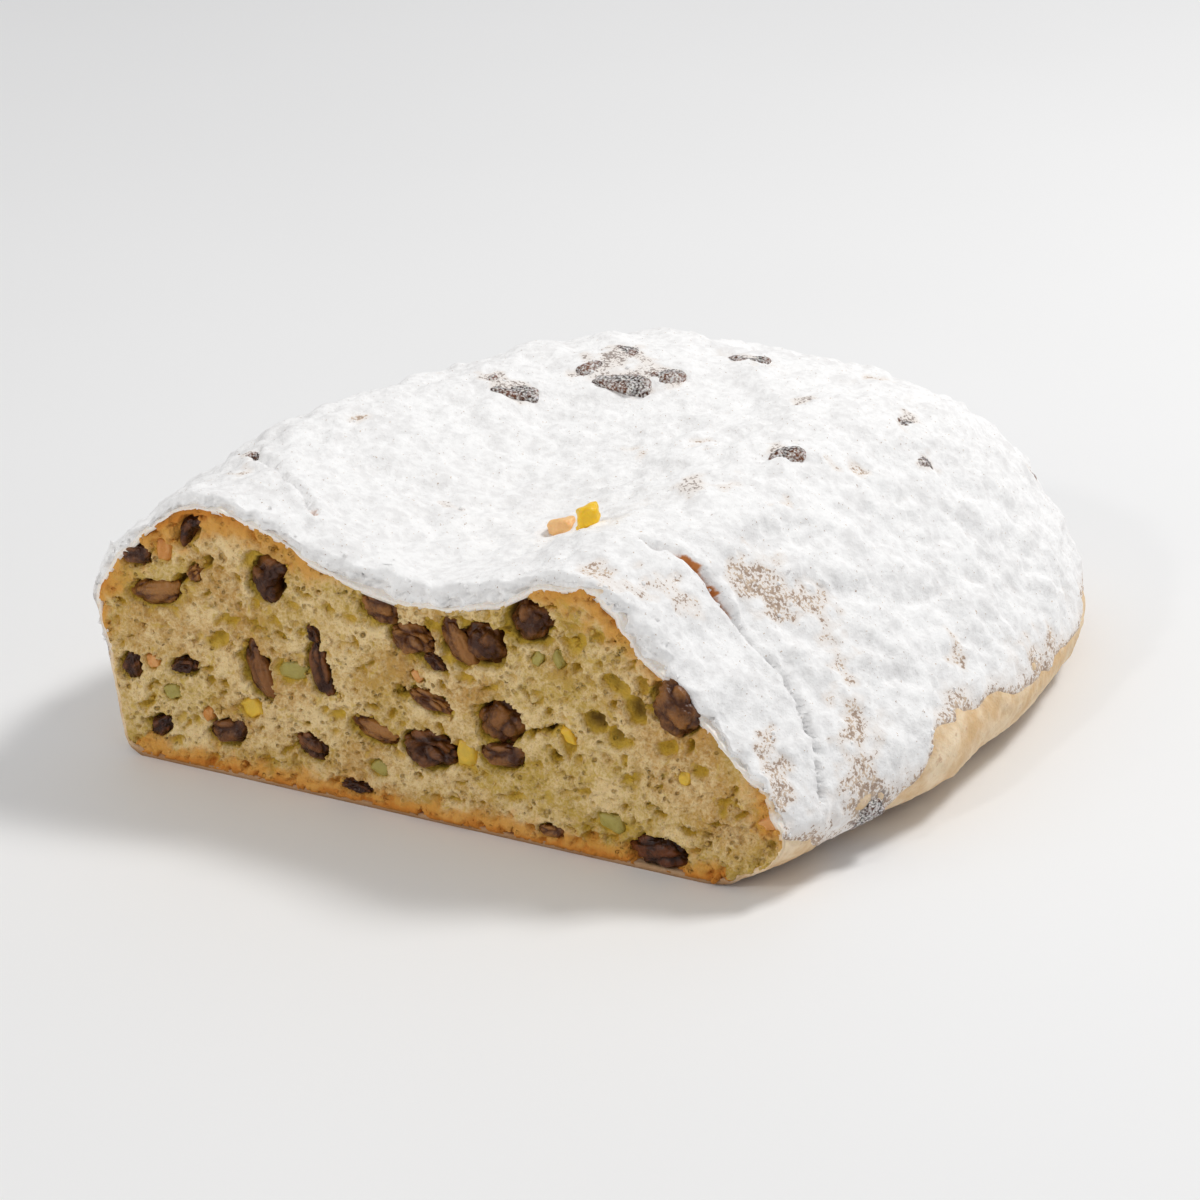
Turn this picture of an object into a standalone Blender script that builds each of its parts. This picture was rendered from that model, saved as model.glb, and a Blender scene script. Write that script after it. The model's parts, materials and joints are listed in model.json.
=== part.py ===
"""A stollen, cut across: the rounded end of the loaf that is left after the first slices.

Units are metres and +Z is up. +X runs along the cut, from the tall fold to the low one, and +Y runs
away from the cut, towards the loaf's rounded end. The origin is the middle of the box, on the table.
"""

import math

import bmesh
import bpy
from mathutils import Vector, noise

# Driving sizes
CUT_WIDTH = 0.145  # across the cut face
LOAF_HEIGHT = 0.060  # to the top of the tall fold, icing sugar included
LOAF_LENGTH = 0.156  # from the cut to the rounded end

# How the loaf is divided
RINGS = 46  # sections from the cut to the end
RING_POINTS = 78  # points round a section

# The dough's own unevenness
LUMP_HEIGHT = 0.0016
LUMP_SPACING = 0.022
RUMPLE_HEIGHT = 0.0007
RUMPLE_SPACING = 0.009
# Swellings over raisins and rolled-in dough: x from the cut's left end, y from the cut, radius, height
SWELLINGS = [
    (0.046, 0.100, 0.012, 0.0008), (0.064, 0.108, 0.010, 0.0008), (0.096, 0.060, 0.020, 0.0014),
    (0.132, 0.104, 0.018, 0.0014), (0.020, 0.050, 0.016, 0.0010), (0.148, 0.045, 0.018, 0.0016),
]

# The section at the cut, as shares of the width and of the height, clockwise from the table at the
# left: a steep wall, the tall fold, the dip beside it, the low fold and its long slope. What lies
# under the table is cut away, and leaves the flat base.
CUT_SECTION = [
    (0.080, -0.10), (0.018, -0.03), (0.006, 0.130), (-0.004, 0.330), (-0.030, 0.560), (0.004, 0.735),
    (0.070, 0.890), (0.140, 0.985), (0.215, 0.970), (0.300, 0.880), (0.400, 0.825), (0.490, 0.830),
    (0.575, 0.890), (0.655, 0.965), (0.722, 0.950), (0.775, 0.855), (0.830, 0.700), (0.900, 0.530),
    (0.965, 0.370), (1.000, 0.225), (0.970, 0.100), (0.880, -0.010), (0.640, -0.10), (0.360, -0.10),
]
# The section near the rounded end, point for point: a plain low dome.
END_SECTION = [
    (0.130, -0.10), (0.040, -0.03), (0.005, 0.150), (-0.004, 0.330), (0.010, 0.510), (0.050, 0.690),
    (0.110, 0.840), (0.190, 0.940), (0.270, 0.985), (0.350, 1.000), (0.430, 1.000), (0.510, 0.990),
    (0.590, 0.970), (0.670, 0.935), (0.745, 0.875), (0.815, 0.785), (0.880, 0.665), (0.940, 0.520),
    (0.982, 0.365), (1.002, 0.210), (0.992, 0.080), (0.920, -0.050), (0.650, -0.10), (0.380, -0.10),
]
DOME_FROM, DOME_BY = 0.15, 0.85  # shares of the way to the end between which one becomes the other

# The outline from above, from just in front of the cut to the tip, as shares of the width and of the
# length. The loaf was cut slantwise, so both sides lean to +X on the way to the end.
LEFT_SIDE = [
    (0.000, -0.080), (0.000, 0.000), (-0.007, 0.190), (0.030, 0.385), (0.125, 0.595), (0.295, 0.800),
    (0.545, 0.955),
]
TIP = (0.810, 1.000)
RIGHT_SIDE = [
    (0.973, -0.080), (1.000, 0.000), (1.068, 0.190), (1.115, 0.370), (1.135, 0.550), (1.120, 0.745),
    (1.025, 0.925),
]
# The height of the top from the cut to the tip, as shares of the loaf's height
CROWN = [0.99, 1.00, 1.01, 1.02, 1.04, 1.06, 1.03, 1.00]
TIP_HEIGHT = 0.33  # of the outermost point of the rounded end
TOP_CLOSES = 0.42  # the last share of the way, over which the top rounds off to the tip
FLOOR_CLOSES = 0.13  # and that over which the underside does


def eased(start, end, value):
    """0 before start, 1 after end, and an S-shaped ramp between them."""
    share = min(1.0, max(0.0, (value - start) / (end - start)))
    return share * share * (3 - 2 * share)


def cubic(before, a, b, after, share):
    """The point at a share of the way from a to b, on a smooth curve through all four."""
    return a + 0.5 * share * (
        b - before + share * (2 * before - 5 * a + 4 * b - after + share * (3 * (a - b) + after - before))
    )


def closed_curve(corners, share):
    """The point at a share of the way round the smooth curve through the corners."""
    place = share * len(corners)
    first = int(place)
    near = [Vector(corners[(first + step) % len(corners)]) for step in (-1, 0, 1, 2)]
    return cubic(*near, place - first)


def open_curve(points, share):
    """The point at a share of the way along the smooth curve through the points."""
    last = len(points) - 1
    first = min(last - 1, int(share * last))
    near = [points[max(0, min(last, first + step))] for step in (-1, 0, 1, 2)]
    return cubic(*near, share * last - first)


def swell(way, closing_share):
    """1 along the loaf, rounding off to 0 over the last closing_share of the way to the tip."""
    return math.sin(math.pi / 2 * min(1.0, (1 - way) / closing_share))


def ring(way):
    """The section at a share of the way to the tip: points from the left side to the right one."""
    outline = [
        Vector((x * CUT_WIDTH, y * LOAF_LENGTH, 0)) for x, y in (*LEFT_SIDE, TIP, *reversed(RIGHT_SIDE))
    ]
    left = open_curve(outline, way / 2)
    right = open_curve(outline, 1 - way / 2)
    tip = TIP_HEIGHT * LOAF_HEIGHT
    top = tip + (open_curve(CROWN, way) * LOAF_HEIGHT - tip) * swell(way, TOP_CLOSES)
    floor = tip * (1 - swell(way, FLOOR_CLOSES))
    change = eased(DOME_FROM, DOME_BY, way)
    points = []
    for step in range(RING_POINTS):
        share = step / RING_POINTS
        across, height = closed_curve(CUT_SECTION, share).lerp(closed_curve(END_SECTION, share), change)
        points.append(left.lerp(right, across) + Vector((0, 0, floor + height * (top - floor))))
    return points


def rough_body():
    """The loaf as a closed mesh, a little longer and deeper than the finished one."""
    body = bmesh.new()
    rows = []
    for step in range(RINGS):
        way = math.sin(step / RINGS * math.pi / 2)
        rows.append([body.verts.new(point) for point in ring(way)])
    tip = body.verts.new((TIP[0] * CUT_WIDTH, TIP[1] * LOAF_LENGTH, TIP_HEIGHT * LOAF_HEIGHT))
    for row, following in zip(rows, rows[1:]):
        for step in range(RING_POINTS):
            after = (step + 1) % RING_POINTS
            body.faces.new((row[step], following[step], following[after], row[after]))
    for step in range(RING_POINTS):
        body.faces.new((rows[-1][step], tip, rows[-1][(step + 1) % RING_POINTS]))
    body.faces.new(reversed(rows[0]))
    bmesh.ops.recalc_face_normals(body, faces=body.faces)
    return body


def rise(place):
    """How far the dough stands out at a place on the loaf."""
    height = LUMP_HEIGHT * noise.noise(place / LUMP_SPACING)
    height += RUMPLE_HEIGHT * noise.noise(place / RUMPLE_SPACING)
    for x, y, radius, swelling in SWELLINGS:
        height += swelling * math.exp(-((place.x - x) ** 2 + (place.y - y) ** 2) / radius ** 2)
    return height


def lump(body):
    """Presses the unevenness of risen dough into the surface."""
    body.normal_update()
    moves = [vertex.normal * rise(vertex.co) for vertex in body.verts]
    for vertex, move in zip(body.verts, moves):
        vertex.co += move


def cut_flat(body, point, outwards):
    """Cuts away what lies beyond a plane, and closes the cut with one flat face."""
    made = bmesh.ops.bisect_plane(
        body, geom=body.verts[:] + body.edges[:] + body.faces[:], dist=1e-6,
        plane_co=point, plane_no=outwards, clear_outer=True,
    )
    rim = [item for item in made["geom_cut"] if isinstance(item, bmesh.types.BMEdge)]
    bmesh.ops.contextual_create(body, geom=rim)


def crust_material():
    material = bpy.data.materials.new("sugared_crust")
    material.use_nodes = True
    surface = material.node_tree.nodes["Principled BSDF"]
    surface.inputs["Base Color"].default_value = (0.88, 0.86, 0.83, 1)
    surface.inputs["Roughness"].default_value = 0.85
    return material


def build_loaf():
    body = rough_body()
    lump(body)
    cut_flat(body, (0, 0, 0), (0, 0, -1))
    cut_flat(body, (0, 0, 0), (0, -1, 0))
    low = [min(vertex.co[axis] for vertex in body.verts) for axis in range(3)]
    high = [max(vertex.co[axis] for vertex in body.verts) for axis in range(3)]
    middle = Vector(((low[0] + high[0]) / 2, (low[1] + high[1]) / 2, 0))
    bmesh.ops.translate(body, verts=body.verts, vec=-middle)
    bmesh.ops.recalc_face_normals(body, faces=body.faces)
    mesh = bpy.data.meshes.new("loaf")
    body.to_mesh(mesh)
    body.free()
    mesh.materials.append(crust_material())
    mesh.shade_smooth()
    mesh.set_sharp_from_angle(angle=math.radians(40))
    loaf = bpy.data.objects.new("loaf", mesh)
    bpy.context.collection.objects.link(loaf)
    return loaf


for old in list(bpy.data.objects):
    bpy.data.objects.remove(old, do_unlink=True)
build_loaf()
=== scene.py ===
# %% [markdown]
# # A cut stollen
#
# A stollen is a rich yeast loaf, full of raisins and candied peel, that is folded over before it is
# baked and buried in icing sugar afterwards. This one has been cut across, so it shows its inside.
#
# Five things make its look: the baked skin, the crumb inside, the fruit in it, the thick coat of sugar,
# and the crumbs and grains that a knife leaves. Each is built here around one packed solid, which only
# says how big the loaf is and where its surface lies.

import itertools
import json
import math

import bmesh
import bpy
import numpy as np
from mathutils import Matrix, Vector
from mathutils.bvhtree import BVHTree
from mathutils.geometry import delaunay_2d_cdt
from mathutils.kdtree import KDTree

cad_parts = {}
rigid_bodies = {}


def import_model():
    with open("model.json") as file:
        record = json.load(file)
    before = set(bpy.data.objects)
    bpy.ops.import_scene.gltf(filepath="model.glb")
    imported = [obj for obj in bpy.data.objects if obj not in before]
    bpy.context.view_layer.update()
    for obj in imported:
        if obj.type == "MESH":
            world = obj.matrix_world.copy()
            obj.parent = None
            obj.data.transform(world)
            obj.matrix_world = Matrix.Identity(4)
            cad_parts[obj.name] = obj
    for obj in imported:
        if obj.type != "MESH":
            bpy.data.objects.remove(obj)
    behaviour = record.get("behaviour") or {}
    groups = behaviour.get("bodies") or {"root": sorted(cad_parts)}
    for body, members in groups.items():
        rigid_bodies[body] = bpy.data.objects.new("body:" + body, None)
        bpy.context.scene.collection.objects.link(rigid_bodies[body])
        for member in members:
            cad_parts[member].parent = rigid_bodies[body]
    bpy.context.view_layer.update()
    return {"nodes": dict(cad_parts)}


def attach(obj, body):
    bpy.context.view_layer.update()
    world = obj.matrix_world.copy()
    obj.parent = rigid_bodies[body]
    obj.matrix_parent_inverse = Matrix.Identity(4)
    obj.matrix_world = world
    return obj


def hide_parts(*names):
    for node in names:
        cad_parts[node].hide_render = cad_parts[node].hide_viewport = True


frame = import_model()

# %% [markdown]
# ## Measuring from the cut
#
# Someone who describes this loaf would measure from the cut: so far along it, so far behind it, so
# high above the table. The script does the same, in millimetres, from the left foot of the cut face,
# and turns that into the frame's metres only when a mesh is made. The foot is found on the packed
# solid, so nothing here has to know where the frame's own origin lies.

# %% The cut's left foot is the point that everything is measured from
MM = 0.001
SAME_PLANE = 0.01  # points of the solid this close to the cut, in mm, lie in it
FOOT_BELOW = 0.5  # and those of them below this height stand on the table
solid = frame["nodes"]["loaf"].data
solid_points = np.array([vertex.co for vertex in solid.vertices]) / MM
cut_plane = solid_points[:, 1].min()
in_cut = solid_points[:, 1] < cut_plane + SAME_PLANE
foot_line = solid_points[in_cut & (solid_points[:, 2] < FOOT_BELOW)]
FOOT = np.array([foot_line[:, 0].min(), cut_plane, 0.0])
skin = BVHTree.FromPolygons(
    [tuple(point) for point in solid_points - FOOT],
    [tuple(polygon.vertices) for polygon in solid.polygons],
)
print("the cut stands on the table over", round(float(np.ptp(foot_line[:, 0])), 1), "mm")

# %% [markdown]
# ## A fine net over the loaf
#
# The packed solid has flat facets of a few millimetres. Sugar and crust need a surface with a point
# about every 0.8 mm. A voxel remesh would give one, but it would round off the cut and lose all sense
# of direction. A net of rows and columns keeps both: the columns start round the cut's edge and run
# over the loaf to its far tip, like the lines of longitude on half a globe, and the rows count the
# steps behind the cut. Rays from the heart of the loaf find the surface along each column.

# %% Columns of the net: round the edge of the cut, then over the loaf to the tip
HEART = np.array([72.0, 0.05, 22.0])  # inside the loaf, just behind the cut
TIP_BELOW = 6  # the tip is the far end, but low down, where no sugar reaches
low_points = (solid_points - FOOT)[solid_points[:, 2] < TIP_BELOW]
TIP = low_points[np.argmax(low_points[:, 1])]
OVER, UNDER = 315, 180  # columns over the top, from foot to foot, and under the base
ROWS = 228
ROW_CROWDING = 1.2  # above 1, rows are closer together near the cut than at the tip
KEEP_UNDER = 4  # the base is flat, so it keeps only every fourth column
EDGE_RAYS = 1440  # rays that look for the cut's outline
COLUMN_RAYS = 110  # rays that look for each column's way over the loaf
ON_TABLE = 0.05  # what is lower than this, in mm, lies on the table


def eased(start, end, value):
    """0 before start, 1 after end, with a soft ramp between them."""
    share = np.clip((value - start) / (end - start), 0, 1)
    return share * share * (3 - 2 * share)


def spread(points, count, closed=False, crowd=1.0):
    """count points along a line of points, at equal distances or crowded towards its start."""
    steps = np.linalg.norm(np.diff(points, axis=0), axis=1)
    places = np.concatenate([[0], np.cumsum(steps)])
    wanted = places[-1] * np.linspace(0, 1, count, endpoint=not closed) ** crowd
    return np.stack([np.interp(wanted, places, points[:, axis]) for axis in range(3)], axis=1)


def look_out(directions):
    """Where rays from the heart leave the loaf."""
    heart = Vector(HEART)
    return np.array([skin.ray_cast(heart, Vector(direction))[0] for direction in directions])


turns = np.linspace(0, 2 * math.pi, EDGE_RAYS, endpoint=False)
edge = look_out(np.stack([-np.sin(turns), 0 * turns, -np.cos(turns)], axis=1))
left_foot = np.argmin(np.where(edge[:, 2] < ON_TABLE, edge[:, 0], np.inf))
edge = np.roll(edge, -left_foot, axis=0)
right_foot = np.argmax(np.where(edge[:, 2] < ON_TABLE, edge[:, 0], -np.inf))
starts = np.concatenate([
    spread(edge[:right_foot + 1], OVER + 1),
    spread(np.concatenate([edge[right_foot:], edge[:1]]), UNDER, closed=True)[1:],
])
to_tip = (TIP - HEART) / np.linalg.norm(TIP - HEART)
shares = np.linspace(0, 1, COLUMN_RAYS)[:, None]
columns = []
for start in starts:
    to_edge = (start - HEART) / np.linalg.norm(start - HEART)
    angle = math.acos(float(to_edge @ to_tip))
    ways = np.sin((1 - shares) * angle) * to_edge + np.sin(shares * angle) * to_tip
    columns.append(spread(look_out(ways), ROWS + 1, crowd=ROW_CROWDING))
net = np.stack(columns, axis=1)
print("the net has", net.shape[0], "rows of", net.shape[1], "points")

# %% [markdown]
# ## Smoothing the facets away
#
# Averaging each point with its neighbours, some dozens of times, wears the facets down and leaves the
# folds, as a thumb does on clay. Two places need care. The rows at the cut are mirrored in the cutting
# plane first, so that the edge stays in it, and the flat base is put back on the table.

# %% Wear the facets down
SMOOTHINGS = 42
FLAT_BASE = 0.02  # points lower than this, in mm, belong to the flat base
BASE_EDGE = 4  # but not within this many columns of its edge, which is worn down with the rest


def smoothed(net):
    """The net with each point moved towards the middle of its neighbours, over and over."""
    on_table = net[..., 2] < FLAT_BASE
    mirror = np.array([1, -1, 1])
    for _ in range(SMOOTHINGS):
        net = (np.roll(net, 1, axis=1) + 2 * net + np.roll(net, -1, axis=1)) / 4
        before = net[1:2] * mirror
        after = net[-1:]
        long = np.concatenate([before, net, after])
        net = (long[:-2] + 2 * long[1:-1] + long[2:]) / 4
        net[-1] = net[-2].mean(axis=0)
    net[0, :, 1] = 0
    deep = on_table & np.roll(on_table, BASE_EDGE, axis=1) & np.roll(on_table, -BASE_EDGE, axis=1)
    net[..., 2] = np.where(deep, 0, np.maximum(net[..., 2], 0))
    return net


def normals_of(net):
    """The way out of the loaf at every point of a net."""
    long = np.concatenate([net[1:2] * [1, -1, 1], net, net[-2:-1]])
    down = long[2:] - long[:-2]
    round_it = np.roll(net, -1, axis=1) - np.roll(net, 1, axis=1)
    outwards = np.cross(down, round_it)
    outwards /= np.maximum(np.linalg.norm(outwards, axis=-1, keepdims=True), 1e-9)
    outwards *= np.sign((outwards * (net - HEART)).sum(-1).mean())
    outwards[-1] = to_tip
    return outwards


net = smoothed(net)
outwards = normals_of(net)
under_base = np.arange(OVER + KEEP_UNDER, OVER + UNDER, KEEP_UNDER)
kept = np.concatenate([np.arange(OVER + 1), under_base])
net, outwards = net[:, kept], outwards[:, kept]
print("height after smoothing, in mm:", net[..., 2].min(), "to", round(net[..., 2].max(), 1))

# %% [markdown]
# ## Unevenness
#
# Nothing baked is even. Two kinds of unevenness do nearly all the work here. Ripples are smooth noise:
# random slopes on a lattice, blended from corner to corner, added up from broad to fine. Lumps are
# rounded heaps round scattered centres, which is how sugar clots and how dough bubbles. Blender has
# both as textures, but the shape of a surface should be in its mesh, so numpy works them out for all
# the points of a net at once.

# %% Ripples and lumps for any set of points
LATTICE = 32
SLOPES = np.random.default_rng(24).normal(size=(LATTICE, LATTICE, LATTICE, 3))
CENTRES = np.random.default_rng(25).random((LATTICE, LATTICE, LATTICE, 3))
# The lattice is turned off the axes, so that its squares don't show
TURNED = np.array(Matrix.Rotation(0.7, 3, Vector((1, 2, 3)).normalized()))
FAR = 9.0  # further than any centre can be, in cubes


def ripples(points, size, times=1, shift=0.0):
    """Smooth noise of about -1 to 1 with humps of the given size, and finer ones added to it."""
    total, strength = 0.0, 1.0
    for step in range(times):
        places = points @ TURNED / size * 2 ** step + 7.3 * step + shift
        cells = np.floor(places).astype(int)
        shares = places - cells
        fade = shares ** 3 * (shares * (shares * 6 - 15) + 10)
        for corner in itertools.product((0, 1), repeat=3):
            weight = np.prod(np.where(corner, fade, 1 - fade), axis=-1)
            slope = SLOPES[tuple(np.moveaxis((cells + corner) % LATTICE, -1, 0))]
            total = total + strength * weight * (slope * (shares - corner)).sum(-1)
        strength /= 2
    return 1.2 * total


def lumps(points, size, shift=0.0):
    """Rounded heaps from 0 to 1, about one in each cube of the given size."""
    places = points @ TURNED / size + shift
    cells = np.floor(places).astype(int)
    nearest = np.full(places.shape[:-1], FAR)
    for step in itertools.product((-1, 0, 1), repeat=3):
        cell = cells + step
        centre = cell + CENTRES[tuple(np.moveaxis(cell % LATTICE, -1, 0))]
        nearest = np.minimum(nearest, ((places - centre) ** 2).sum(-1))
    return np.clip(1 - nearest, 0, 1)


def near(points, place, radius):
    """1 at a place, fading to nothing over a few times the radius."""
    return np.exp(-(((points - place) / radius) ** 2).sum(-1))


def ruffled(points, by, size, shift=0.0):
    """The points, each moved a little, so that what is drawn round a place comes out ragged."""
    moves = [ripples(points, size, times=2, shift=shift + axis) for axis in (1, 2, 3)]
    return points + by * np.stack(moves, axis=-1)


sample = ripples(net, 9.0)
print("ripples on the net run from", round(sample.min(), 2), "to", round(sample.max(), 2))

# %% [markdown]
# ## Fruit that stood up through the crust
#
# Some raisins baked right at the surface. Each one pushes up a small bump, and as sugar slides off a
# smooth raisin, it shows there as a dark spot under a dust of sugar. The same list raises the coat,
# thins and darkens it over the fruit, and at the end says where real raisins sit in the bumps.

# %% Fruit at the surface: x, y, z, length, thickness, turn in degrees, how far it stands out in mm
FRUIT_ON_TOP = [
    (70.5, 84.0, 59.5, 13.0, 8.0, 8, 3.4), (61.5, 88.5, 60.5, 11.0, 7.6, 62, 2.6),
    (76.5, 91.5, 59.5, 9.0, 7.0, 40, 2.0), (66.0, 97.0, 60.5, 10.0, 7.0, 160, 1.4),
    (51.8, 72.0, 58.9, 11.0, 6.4, 15, 2.0), (44.6, 75.4, 58.0, 8.0, 6.0, 100, 0.9),
    (113.7, 66.1, 59.2, 8.0, 6.4, 60, 1.8), (133.5, 90.8, 51.8, 8.0, 6.0, 110, 0.8),
    (88.8, 107.5, 60.2, 10.0, 6.0, 0, 0.8), (108.0, 91.3, 59.8, 9.0, 6.0, 150, 0.5),
    (127.1, 98.2, 56.3, 9.0, 6.0, 20, 0.5), (101.0, 45.8, 59.0, 8.0, 5.4, 165, 0.2),
    (149.3, 22.0, 8.0, 9.4, 6.0, 30, 1.0), (18.2, 25.2, 58.0, 8.0, 5.4, 20, 0.8),
    (22.0, 96.0, 46.0, 9.5, 6.4, 50, 0.4), (84.0, 148.5, 33.0, 9.0, 6.4, 0, 0.6),
    (-3.0, 31.0, 35.0, 9.4, 6.4, 70, 0.8), (141.0, 131.0, 33.0, 8.8, 6.0, 130, 0.4),
    (40.0, 121.5, 44.0, 8.4, 6.0, 10, 0.1), (60.0, 30.0, 54.0, 8.0, 6.0, 30, -0.4),
]
LEMON, ORANGE, GREEN = "lemon_peel", "orange_peel", "green_peel"
PEEL_ON_TOP = {
    LEMON: [(91.6, 24.4, 56.6, 5.0, 5.2, 20, 4.4), (88.4, 27.0, 55.2, 2.6, 2.2, 60, 1.0)],
    ORANGE: [(83.0, 29.5, 52.6, 5.6, 4.2, 5, 2.4)],
    GREEN: [],
}


def over_fruit(points, reach, strength=1.0, by_height=0.0):
    """Patches over the fruit. Each fades at a reach, as a share of its fruit's length and thickness."""
    return sum(
        (strength + by_height * out) * near(points, (x, y, z), reach * (length + thick))
        for x, y, z, length, thick, _, out in FRUIT_ON_TOP
    )


def bumps(points):
    """How far the fruit at the surface pushes the coat up, in mm."""
    return over_fruit(points, 0.40, strength=0.4, by_height=0.3)


bits_on_top = sum(map(len, PEEL_ON_TOP.values()))
print("fruit at the surface:", len(FRUIT_ON_TOP), "raisins,", bits_on_top, "bits of peel")

# %% [markdown]
# ## How thick the sugar lies
#
# The sugar is put on twice: the hot loaf is brushed with butter and rolled in it, and the cold one is
# dusted. It stays where the surface faces up, drifts into the dip between the folds, slips off steep
# sides and never reaches the foot of the loaf. Handling has rubbed it thin in spots. So one number for
# each point of the net, the depth of the sugar in millimetres, decides where the coat's surface lies,
# where the crust lies under it, and later where the coat is so thin that the crust shows through.

# %% The depth of the sugar over the net
ON_STEEP_SIDES, MORE_ON_TOP = 0.75, 1.05  # in mm
DRIFT = np.array([68.0, 0.0, 50.0])  # the dip between the folds
DRIFT_SIZE = np.array([16.5, 46.0, 30.0])
DRIFT_DEPTH = 2.4
SLAB_OF_SUGAR = np.array([113.0, 2.0, 48.0])  # caked sugar on the slope next to the cut
SLAB_SIZE = np.array([9.0, 12.0, 12.0])
SLAB_DEPTH = 1.5
RUBBED_AWAY = 0.76  # the share of the sugar that is gone where it is rubbed most
# Where the coat ends above the table: compass heading from the loaf's middle, in degrees from the
# rounded end and turning towards the low fold, and height in mm
COAT_ENDS = np.array([
    (-180, 20), (-126, 14), (-110, 17), (-60, 11), (-20, 9), (20, 9), (47, 12), (62, 11), (76, 12),
    (88, 17), (98, 19), (105, 17), (110, 10), (114, 3), (120, 0), (126, 1), (131, 8), (136, 13),
    (180, 12),
])
MIDDLE = np.array([78.0, 62.0, 0.0])
# Spots where the coat is rubbed thin: x, y, z and radius
THIN_SPOTS = [
    (108.5, 5.9, 55.3, 6.5), (101, 4, 57, 5.0), (114.2, 14.7, 51.6, 5.6), (119, 31, 50, 6.4),
    (125, 34, 46.5, 6.0), (132.2, 39.3, 41.9, 6.2), (139.6, 32.8, 33.2, 6.4),
    (144.9, 26.3, 26.3, 6.0), (148, 20, 17, 7.0), (152.7, 59.8, 27, 4.6), (161, 80, 21, 4.6),
    (161, 92, 20, 4.8), (134, 8, 28, 4.0), (138, 4, 20, 5.6), (109, 49, 58.5, 4.0),
    (118, 52, 56, 3.4), (95, 66, 59, 3.6), (124, 74, 56, 3.8), (112, 116, 56, 4.4),
    (6, 60, 50, 5.5), (20, 95, 46, 5.0), (62, 140, 38, 6.0), (110, 150, 30, 5.5), (-3, 30, 36, 6.0),
    (139, 140, 30, 5.0), (5, 12, 47, 3.6), (1, 45, 25, 5.5), (30, 46, 59.5, 3.6),
    (84, 62, 56.5, 3.4), (12, 9, 55, 4.0), (21, 15, 58.5, 3.6), (133, 5, 20, 6.5),
    (137, 10, 12, 5.0),
]


def frayed(points):
    """The points moved about, so that rubbed spots and fruit show through with ragged outlines."""
    return ruffled(points, 2.6, 5.0, shift=60.0)


def sugar_depth(points, outwards):
    """How deep the sugar lies, in mm, before its own lumps."""
    heading = np.degrees(np.arctan2(points[..., 0] - MIDDLE[0], points[..., 1] - MIDDLE[1]))
    ends = np.interp(heading, *COAT_ENDS.T)
    ends = ends + 2.6 * ripples(points, 13.0, times=3, shift=3.0)
    cover = eased(-1.5, 8.0, points[..., 2] - ends)
    faces_up = outwards[..., 2]
    depth = ON_STEEP_SIDES + MORE_ON_TOP * eased(-0.2, 0.8, faces_up)
    depth = depth + DRIFT_DEPTH * near(points, DRIFT, DRIFT_SIZE) * eased(0.6, 0.95, faces_up)
    depth = depth + SLAB_DEPTH * near(points, SLAB_OF_SUGAR, SLAB_SIZE)
    depth = depth * (1 + 0.22 * ripples(points, 9.0, times=2, shift=6.0))
    ragged = frayed(points)
    spots = sum(near(ragged, place, radius) for *place, radius in THIN_SPOTS)
    spots = spots + over_fruit(ragged, 0.30, strength=1.1)
    rubbed = eased(0.15, 1.0, spots + 0.30 * ripples(points, 3.4, times=2, shift=5.0))
    return depth * cover * (1 - RUBBED_AWAY * rubbed)


depth = sugar_depth(net, outwards)
middling_depth, most_depth = float(np.median(depth)), float(depth.max())
print("sugar depth, in mm: middling", round(middling_depth, 2), "most", round(most_depth, 2))

# %% [markdown]
# ## Cracks
#
# Where the sheet of sugar slid on its butter it tore. The longest crack runs from the top of the low
# fold down to the table, nearly parallel to the cut: on the side of the cut the sheet is thick and
# stands up, on the other it starts thin. A crack is a smooth line through a few chosen points. What
# matters at each point of the net is how far it is from that line, and on which side.

# %% How far each point is from a crack, and on which side
CRACK = [
    (104, 19, 57.8), (108.7, 21.7, 56.8), (113.7, 22.4, 53.6), (119.4, 21.5, 47.4),
    (126.1, 21.2, 40.6), (131.5, 20.4, 36.0), (136.6, 18.6, 31.3), (141.6, 14.6, 23.8),
    (144.2, 10.8, 16.5), (143.9, 7.5, 9.4),
]
SECOND_CRACK = [
    (119.7, 25.4, 47.6), (125, 24.6, 42), (130.4, 23.9, 37.3), (136.2, 22.8, 32.0),
    (141.0, 19.4, 26.3), (144.6, 15.0, 20.3), (146.3, 12.0, 12.0),
]
FINE_CRACK = [
    (18.2, 27, 58), (20.2, 22.4, 58.4), (26, 18.5, 57.8), (32.5, 14.6, 56.4), (40.2, 9.0, 55.0),
]
CURVE_STEPS = 12  # points of a crack's line between two corners
CRACK_REACH = 9.0  # further than this from a crack, in mm, nothing is measured
FAR_FROM_CRACKS = 99.0
CRACK_DEPTH = 2.3


def curve(corners):
    """A smooth line of points through the corners."""
    ends = np.array([corners[0], *corners, corners[-1]], float)
    line = []
    for before, a, b, after in zip(ends, ends[1:], ends[2:], ends[3:]):
        bend = 2 * before - 5 * a + 4 * b - after
        twist = 3 * (a - b) + after - before
        for share in np.linspace(0, 1, CURVE_STEPS, endpoint=False):
            line.append(a + 0.5 * share * (b - before + share * (bend + share * twist)))
    return np.array(line + [ends[-1]])


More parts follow.
